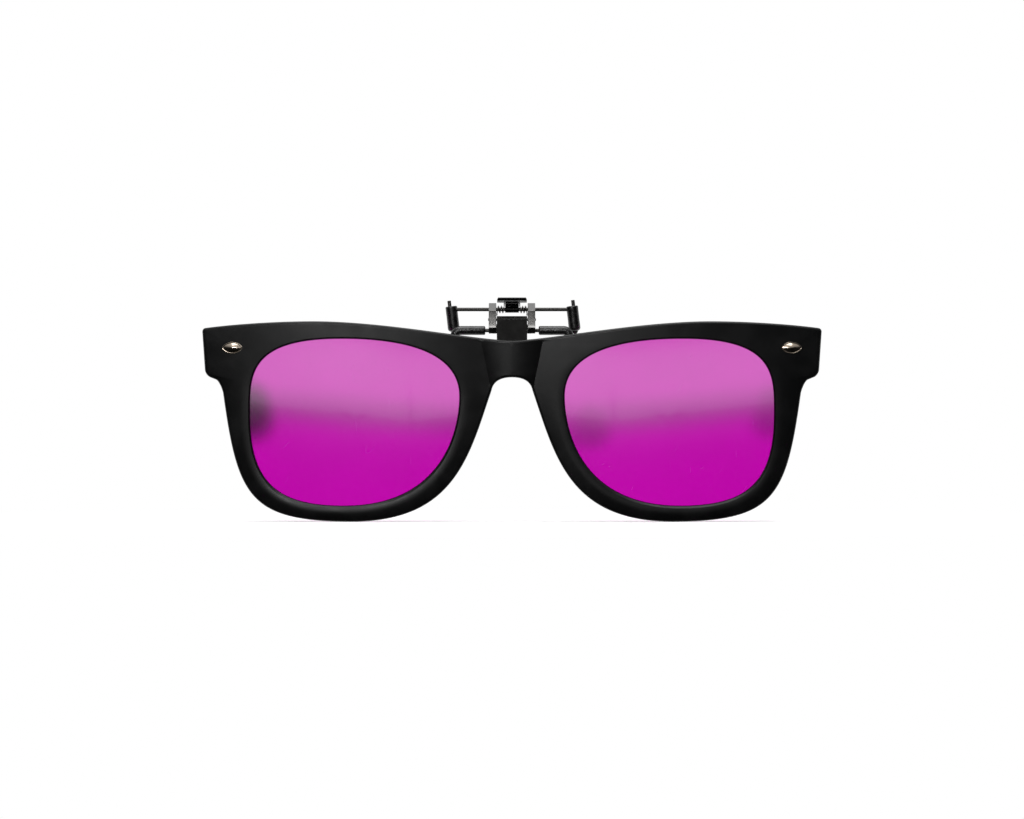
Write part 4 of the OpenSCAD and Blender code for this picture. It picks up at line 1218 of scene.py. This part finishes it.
def wear_group():
    """Edges where plating has rubbed thin: the rounded normal differs from the true one."""
    group, given, put = group_with(
        "edge_wear",
        [("Place", "NodeSocketVector", (0, 0, 0)), ("Reach", "NodeSocketFloat", 0.0001)],
        [("Edges", "NodeSocketFloat")],
    )
    bevel = group.nodes.new("ShaderNodeBevel")
    bevel.samples = 6
    feed(group, bevel.inputs["Radius"], given.outputs["Reach"])
    true = group.nodes.new("ShaderNodeNewGeometry")
    dot = group.nodes.new("ShaderNodeVectorMath")
    dot.operation = "DOT_PRODUCT"
    feed(group, dot.inputs[0], bevel.outputs[0])
    feed(group, dot.inputs[1], true.outputs["True Normal"])
    edge = ramp_node(group, dot.outputs["Value"], 0.995, 0.9)
    patchy = noise_node(group, given.outputs["Place"], 1500.0, detail=3.0)
    worn = math_node(group, "MULTIPLY", edge, ramp_node(group, patchy, 0.35, 0.65, 0.25, 1.0))
    feed(group, put.inputs["Edges"], worn)
    return group


class Shelf:
    """Materials and groups, each made once when it is first asked for."""

    made = {}

    @classmethod
    def take(cls, maker):
        """What the maker makes, made by its first call."""
        if maker.__name__ not in cls.made:
            cls.made[maker.__name__] = maker()
        return cls.made[maker.__name__]


def shader_with(name):
    """A material with its shader node and the object's own coordinates."""
    material = bpy.data.materials.new(name)
    material.use_nodes = True
    tree = material.node_tree
    place = tree.nodes.new("ShaderNodeTexCoord").outputs["Object"]
    return material, tree, tree.nodes["Principled BSDF"], place


def use_group(tree, maker, values, place):
    """A node of one of the shader groups, with its values."""
    node = tree.nodes.new("ShaderNodeGroup")
    node.node_tree = Shelf.take(maker)
    for label, value in (("Place", place), *values.items()):
        feed(tree, node.inputs[label], value)
    return node


def blend_colours(tree, factor, a, b):
    """A colour between two, by a factor that changes over the surface."""
    node = tree.nodes.new("ShaderNodeMix")
    node.data_type = "RGBA"
    feed(tree, node.inputs["Factor"], factor)
    for label, colour in (("A", a), ("B", b)):
        is_socket = isinstance(colour, bpy.types.NodeSocket)
        feed(tree, node.inputs[label], colour if is_socket else (*colour, 1))
    return node.outputs["Result"]


def bump_from(tree, shader, height, depth):
    """Fine relief, as deep as depth says."""
    bump = tree.nodes.new("ShaderNodeBump")
    for label, value in (("Strength", 1.0), ("Distance", depth), ("Height", height)):
        feed(tree, bump.inputs[label], value)
    feed(tree, shader.inputs["Normal"], bump.outputs[0])


def scaled(colour, by):
    """A colour made lighter or darker."""
    return tuple(min(1.0, c * by) for c in colour)


def finish_with(tree, shader, grain, colour, smooth, dull, depth):
    """Gives a shader its colour, a roughness that follows the handling marks, and the grain's relief."""
    feed(tree, shader.inputs["Base Color"], colour)
    feed(tree, shader.inputs["Roughness"], ramp_node(tree, grain.outputs["Handling"], 0.0, 1.0, smooth, dull))
    bump_from(tree, shader, grain.outputs["Grain Height"], depth)


def black_moulding():
    """Matte black moulding with a fine grain and faint handling marks."""
    f = sizes("finish")
    material, tree, shader, place = shader_with("black_moulding")
    grain = use_group(tree, grain_group, {"Grain": 7000.0, "Marks": 160.0}, place)
    colour = blend_colours(tree, grain.outputs["Handling"], scaled(f.plastic, 0.85), scaled(f.plastic, 1.25))
    finish_with(tree, shader, grain, colour, f.plastic_rough - 0.03, f.plastic_rough + 0.05, 0.004 * MM)
    shader.inputs["Specular IOR Level"].default_value = f.plastic_gloss
    return material


def tinted_lens():
    """Magenta plastic, clear right through, with a light mirror coat, a few hair scratches, and painted shade
    in a dark ring at its border.
    """
    f = sizes("finish")
    material, tree, shader, place = shader_with("tinted_lens")
    grain = use_group(tree, grain_group, {"Grain": 4200.0, "Marks": 90.0}, place)
    lines = use_group(tree, scratch_group, {"Width": 0.0014}, place)
    edge, mirror = (tree.nodes.new("ShaderNodeAttribute") for _ in range(2))
    edge.attribute_name = "edge"
    mirror.attribute_name = "mirror"
    colour = blend_colours(tree, grain.outputs["Handling"], scaled(f.lens, 0.97), scaled(f.lens, 1.0))
    colour = blend_colours(tree, lines.outputs["Scratches"], colour, f.lens_scratch)
    # Painted shade: the border ring turns dark as the shade of the rim's groove and the black rim seen
    # through the lens
    colour = blend_colours(tree, edge.outputs["Fac"], colour, f.lens_rim_shade)
    feed(tree, shader.inputs["Base Color"], colour)
    rough = ramp_node(tree, lines.outputs["Scratches"], 0.0, 1.0, f.lens_rough, 0.3)
    feed(tree, shader.inputs["Roughness"], rough)
    feed(tree, shader.inputs["Coat Weight"], mirror.outputs["Fac"])
    shader.inputs["Transmission Weight"].default_value = 1.0
    shader.inputs["IOR"].default_value = 1.5
    shader.inputs["Coat IOR"].default_value = 3.4
    shader.inputs["Coat Roughness"].default_value = 0.1
    bump_from(tree, shader, grain.outputs["Grain Height"], 0.0004 * MM)
    return material


def metal(name, colour, rough, grain_size, depth, worn=None):
    """Plated metal: handling marks in its polish, and bare metal where its edges rub."""
    material, tree, shader, place = shader_with(name)
    grain = use_group(tree, grain_group, {"Grain": grain_size, "Marks": 420.0}, place)
    toned = blend_colours(tree, grain.outputs["Handling"], scaled(colour, 0.9), scaled(colour, 1.08))
    if worn:
        edges = use_group(tree, wear_group, {"Reach": 0.1 * MM}, place)
        toned = blend_colours(tree, edges.outputs["Edges"], toned, worn)
    finish_with(tree, shader, grain, toned, rough * 0.9, rough * 1.15, depth)
    shader.inputs["Metallic"].default_value = 1.0
    return material


def polished_stud():
    """Studs, polished bright."""
    return metal("polished_stud", sizes("finish").stud, rough=0.22, grain_size=3000.0, depth=0.0008 * MM)


def gun_metal():
    """The clamp's body, plated, and bare where its edges rub."""
    f = sizes("finish")
    return metal(
        "gun_metal", f.gun_metal, rough=0.26, grain_size=9000.0, depth=0.0012 * MM, worn=f.bare_metal
    )


def blackened_metal():
    """The flip plate and the lever, blackened, and lighter where their edges rub."""
    f = sizes("finish")
    return metal(
        "blackened_metal", f.black_metal, rough=0.36, grain_size=9000.0, depth=0.003 * MM, worn=f.gun_metal
    )


def plated_wire():
    """The claws' wires, plated dark."""
    return metal("plated_wire", sizes("finish").wire, rough=0.33, grain_size=8000.0, depth=0.0002 * MM)


def bright_steel():
    """Spring, pin and screws."""
    return metal("bright_steel", sizes("finish").steel, rough=0.22, grain_size=8000.0, depth=0.001 * MM)


def black_rubber(name, grain_size, depth):
    """Black rubber with a faint bloom."""
    f = sizes("finish")
    material, tree, shader, place = shader_with(name)
    grain = use_group(tree, grain_group, {"Grain": grain_size, "Marks": 900.0}, place)
    colour = blend_colours(tree, grain.outputs["Handling"], f.rubber, scaled(f.rubber, 1.7))
    finish_with(tree, shader, grain, colour, f.rubber_rough, f.rubber_rough + 0.15, depth)
    return material


def sleeve_rubber():
    """The rear sleeves, nearly smooth."""
    return black_rubber("sleeve_rubber", grain_size=6000.0, depth=0.006 * MM)


def crinkled_rubber():
    """The front sleeves, finely crinkled."""
    return black_rubber("crinkled_rubber", grain_size=2600.0, depth=0.07 * MM)


# Studio

def seen_rays(tree):
    """One where a ray comes from the camera or through a lens, and all that is known of the ray."""
    path = tree.nodes.new("ShaderNodeLightPath").outputs
    return math_node(tree, "MAXIMUM", path["Is Camera Ray"], path["Is Transmission Ray"]), path


def studio_floor():
    """A pale floor that fades into the white background, and keeps the object's shadow."""
    s = sizes("studio")
    steps = 12
    row = steps + 1
    height = -s.floor_drop - s.floor_gap
    points = [
        Vector((
            s.floor_half * (2 * i / steps - 1),
            -s.floor_front + (s.floor_front + s.floor_half) * j / steps,
            height,
        ))
        for j in range(row) for i in range(row)
    ]
    faces = [
        (j * row + i, j * row + i + 1, (j + 1) * row + i + 1, (j + 1) * row + i)
        for j in range(steps) for i in range(steps)
    ]
    floor = build_mesh("studio_floor", points, faces)
    floor.visible_glossy = False
    material, tree, shader, place = shader_with("pale_floor")
    pale, paler = (0.8, 0.8, 0.8), (0.84, 0.84, 0.84)
    feed(tree, shader.inputs["Base Color"], blend_colours(tree, noise_node(tree, place, 6.0), pale, paler))
    shader.inputs["Roughness"].default_value = 0.9
    shader.inputs["Specular IOR Level"].default_value = 0.1
    away = tree.nodes.new("ShaderNodeVectorMath")
    away.operation = "LENGTH"
    feed(tree, away.inputs[0], place)
    seen, _ = seen_rays(tree)
    fade = ramp_node(tree, away.outputs["Value"], s.fade_start, s.fade_end)
    kinds = ("Emission", "Emission", "AddShader", "MixShader")
    near, far, both, faded = (tree.nodes.new("ShaderNode" + kind) for kind in kinds)
    links = (
        (math_node(tree, "MULTIPLY", seen, 0.15), near.inputs["Strength"]),
        (shader.outputs[0], both.inputs[0]),
        (near.outputs[0], both.inputs[1]),
        (math_node(tree, "MULTIPLY", seen, fade), faded.inputs[0]),
        (both.outputs[0], faded.inputs[1]),
        (far.outputs[0], faded.inputs[2]),
        (faded.outputs[0], tree.nodes["Material Output"].inputs["Surface"]),
    )
    for source, target in links:
        tree.links.new(source, target)
    floor.data.materials.append(material)


def horizon_shade(tree, across, along, up):
    """Painted shade low over the horizon behind, darker in a few spots, for what shows through the lenses."""
    rise, sink = 0.08, 0.0027
    band_h, band_depth = 0.0045, 0.3
    spot_sink, spot_reach = 0.0014, 1.6

    # Each spot's place across, half width, half height and depth
    spots = (
        (-0.0462, 0.005, 0.0055, 0.9), (0.0137, 0.0045, 0.0042, 0.42), (0.0458, 0.0045, 0.0048, 0.45)
    )

    bent = math_node(tree, "MULTIPLY", math_node(tree, "ABSOLUTE", across), rise)
    level = math_node(tree, "ADD", math_node(tree, "SUBTRACT", up, bent), sink)
    shade = ramp_node(tree, math_node(tree, "ABSOLUTE", level), 0.0, band_h, band_depth, 0.0)
    for spot, half_w, half_h, depth in spots:
        aside = math_node(tree, "DIVIDE", math_node(tree, "SUBTRACT", across, spot), half_w)
        above = math_node(tree, "DIVIDE", math_node(tree, "ADD", level, spot_sink), half_h)
        squares = [math_node(tree, "MULTIPLY", part, part) for part in (aside, above)]
        away = math_node(tree, "ADD", *squares)
        shade = math_node(tree, "MAXIMUM", shade, ramp_node(tree, away, 0.0, spot_reach, depth, 0.0))
    return math_node(tree, "MULTIPLY", shade, math_node(tree, "GREATER_THAN", along, 0.9))


def studio_world():
    """White to the camera, and through the lenses apart from the painted shade of horizon_shade. Mirrored, it
    is white behind and dim in front.
    """
    world = bpy.data.worlds.new("studio_world")
    bpy.context.scene.world = world
    world.use_nodes = True
    tree = world.node_tree
    seen, path = seen_rays(tree)
    where = tree.nodes.new("ShaderNodeTexCoord")
    parts = tree.nodes.new("ShaderNodeSeparateXYZ")
    feed(tree, parts.inputs[0], where.outputs["Generated"])
    behind = ramp_node(tree, parts.outputs["Y"], -0.1, 0.35, 0.0, 1.0)
    above = ramp_node(tree, parts.outputs["Z"], 0.3, 0.8, 0.004, 0.6)
    reflected = math_node(tree, "MAXIMUM", behind, above)
    glossy = path["Is Glossy Ray"]
    dim = math_node(tree, "MULTIPLY", math_node(tree, "SUBTRACT", 1.0, glossy), 0.55)
    strength = math_node(tree, "ADD", math_node(tree, "MULTIPLY", glossy, reflected), dim)
    strength = math_node(tree, "MAXIMUM", strength, seen)
    shade = horizon_shade(tree, *(parts.outputs[axis] for axis in "XYZ"))
    shaded = math_node(tree, "MULTIPLY", shade, path["Is Transmission Ray"])
    sky = tree.nodes["Background"]
    sky.inputs["Color"].default_value = (1, 1, 1, 1)
    feed(tree, sky.inputs["Strength"], math_node(tree, "SUBTRACT", strength, shaded))


def softbox(name, place, aim, width, height, radiance, roll=0.0):
    """A soft lamp with an even face, whose power follows from its size."""
    lamp = bpy.data.lights.new(name, "AREA")
    lamp.shape = "RECTANGLE"
    lamp.size = width
    lamp.size_y = height
    lamp.energy = radiance * math.pi * width * height
    lamp_object = add_object(name, lamp)
    turned = (Vector(aim) - Vector(place)).to_track_quat("-Z", "Y").to_matrix().to_4x4()
    lamp_object.matrix_world = Matrix.Translation(place) @ turned @ Matrix.Rotation(roll, 4, "Z")
    lamp_object.visible_camera = False


def studio_lights():
    """A low strip in two halves for the lenses, a key at the left, and a wide box above."""
    strip_x, strip_y, strip_z = 0.21, -0.8, 0.033
    strip_roll = math.radians(3)
    for side in SIDES:
        x = side * strip_x
        place, aim = (x, strip_y, strip_z), (x, 0, strip_z)
        softbox(sided("strip", side), place, aim, 2 * strip_x, 0.086, radiance=0.45, roll=side * strip_roll)
    low = (0, 0, -0.02)
    softbox("key", (-0.14, -0.74, 0.235), low, 0.2, 0.2, radiance=17.0)
    softbox("overhead", (0.0, -0.1, 0.78), low, 0.6, 0.6, radiance=5.0)


def studio_camera():
    """Straight in front, with the photograph's centre and scale at the face of the front."""
    s = sizes("studio")
    scene = bpy.context.scene
    camera = bpy.data.cameras.new("camera")
    camera.lens = s.focal
    camera.sensor_width = s.sensor
    camera.sensor_fit = "HORIZONTAL"
    camera.clip_start = 0.01
    distance = s.picture_w * s.pixel * s.focal / camera.sensor_width
    height = (s.zero_row - s.picture_h / 2) * s.pixel
    viewer = add_object("camera", camera)
    viewer.location = (0, -s.face_plane - distance, height)
    viewer.rotation_euler = (math.pi / 2, 0, 0)
    scene.camera = viewer
    scene.view_settings.view_transform = "Standard"


# Operators

class CLIPON_OT_front(Operator):
    """Build the moulded front"""

    bl_idname = "clipon.front"
    bl_label = "Moulded front"

    def execute(self, context):
        dress(front_moulding(), "front", "black_plastic", Shelf.take(black_moulding), "front_frame")
        return {"FINISHED"}


class CLIPON_OT_lenses(Operator):
    """Build both tinted lenses"""

    bl_idname = "clipon.lenses"
    bl_label = "Tinted lenses"

    def execute(self, context):
        for side, node in ((-1, "lens_left"), (1, "lens_right")):
            dress(lens_piece(side), "front", "tinted_lens", Shelf.take(tinted_lens), node)
        return {"FINISHED"}


class CLIPON_OT_studs(Operator):
    """Build both polished studs"""

    bl_idname = "clipon.studs"
    bl_label = "Studs"

    def execute(self, context):
        for side, node in ((-1, "stud_left"), (1, "stud_right")):
            dress(stud_piece(side), "front", "polished_stud", Shelf.take(polished_stud), node)
        return {"FINISHED"}


class CLIPON_OT_hinge(Operator):
    """Build the flip plate, its pin and its screws"""

    bl_idname = "clipon.hinge"
    bl_label = "Flip hinge"

    def execute(self, context):
        dress(hinge_plate(), "front", "gun_metal", Shelf.take(blackened_metal), "flip_plate")
        dress(hinge_pin(), "clip", "bright_steel", Shelf.take(bright_steel), "flip_pin")
        for name, node in (("screw_upper", "plate_screw_upper"), ("screw_lower", "plate_screw_lower")):
            dress(cross_screw(name, node), "front", "bright_steel", Shelf.take(bright_steel), node)
        return {"FINISHED"}


class CLIPON_OT_body(Operator):
    """Build the clamp's body with its two lugs"""

    bl_idname = "clipon.body"
    bl_label = "Clamp body"

    def execute(self, context):
        dress(clamp_body(), "clip", "gun_metal", Shelf.take(gun_metal), "clip_body")
        return {"FINISHED"}


class CLIPON_OT_claws(Operator):
    """Build the front and rear claw wires"""

    bl_idname = "clipon.claws"
    bl_label = "Claw wires"

    def execute(self, context):
        dress(front_claw_wire(), "clip", "wire_metal", Shelf.take(plated_wire), "front_claw")
        dress(rear_claw_wire(), "jaw", "wire_metal", Shelf.take(plated_wire), "rear_claw")
        return {"FINISHED"}


class CLIPON_OT_sleeves(Operator):
    """Build the four rubber sleeves"""

    bl_idname = "clipon.sleeves"
    bl_label = "Rubber sleeves"

    def execute(self, context):
        crinkled, smooth = Shelf.take(crinkled_rubber), Shelf.take(sleeve_rubber)
        for side, end in ((-1, "left"), (1, "right")):
            dress(front_sleeve_piece(side), "clip", "black_rubber", crinkled, "front_sleeve_" + end)
            dress(rear_sleeve_piece(side), "jaw", "black_rubber", smooth, "rear_sleeve_" + end)
        return {"FINISHED"}


class CLIPON_OT_lever(Operator):
    """Build the thumb lever"""

    bl_idname = "clipon.lever"
    bl_label = "Thumb lever"

    def execute(self, context):
        dress(thumb_lever_piece(), "jaw", "gun_metal", Shelf.take(blackened_metal), "thumb_lever")
        return {"FINISHED"}


class CLIPON_OT_spring(Operator):
    """Build the double torsion spring"""

    bl_idname = "clipon.spring"
    bl_label = "Clamp spring"

    def execute(self, context):
        spring = spring_piece()
        spring.data.materials.append(Shelf.take(bright_steel))
        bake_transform(spring)
        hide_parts("clamp_spring")
        return {"FINISHED"}


class CLIPON_OT_studio(Operator):
    """Set up the floor, lights, world and camera"""

    bl_idname = "clipon.studio"
    bl_label = "Studio"

    def execute(self, context):
        studio_floor()
        studio_world()
        studio_lights()
        studio_camera()
        return {"FINISHED"}


OPERATORS = (
    CLIPON_OT_front, CLIPON_OT_lenses, CLIPON_OT_studs, CLIPON_OT_hinge, CLIPON_OT_body,
    CLIPON_OT_claws, CLIPON_OT_sleeves, CLIPON_OT_lever, CLIPON_OT_spring, CLIPON_OT_studio,
)


class CLIPON_PT_panel(Panel):
    """Pieces of the clip-on glasses"""

    bl_idname = "CLIPON_PT_panel"
    bl_label = "Clip-on glasses"
    bl_space_type = "VIEW_3D"
    bl_region_type = "UI"
    bl_category = "Clip-on"

    def draw(self, context):
        for operator in OPERATORS:
            self.layout.operator(operator.bl_idname)


GROUPS = {
    "front": FrontSizes, "stud": StudSizes, "hinge": HingeSizes,
    "clamp": ClampSizes, "finish": Finishes, "studio": StudioSizes,
}


def register():
    """Makes the sizes, operators and panel known to Blender."""
    for group in GROUPS.values():
        bpy.utils.register_class(group)
    for operator in OPERATORS:
        bpy.utils.register_class(operator)
    bpy.utils.register_class(CLIPON_PT_panel)
    for name, group in GROUPS.items():
        setattr(bpy.types.Scene, "clip_on_" + name, PointerProperty(type=group))


def unregister():
    """Takes back what register has made known."""
    for name in GROUPS:
        delattr(bpy.types.Scene, "clip_on_" + name)
    bpy.utils.unregister_class(CLIPON_PT_panel)
    for operator in reversed(OPERATORS):
        bpy.utils.unregister_class(operator)
    for group in reversed(list(GROUPS.values())):
        bpy.utils.unregister_class(group)


def main():
    """Builds every piece and the studio, and keeps the sizes."""
    register()
    for operator in OPERATORS:
        group, name = operator.bl_idname.split(".")
        getattr(getattr(bpy.ops, group), name)()


if __name__ == "__main__":
    main()
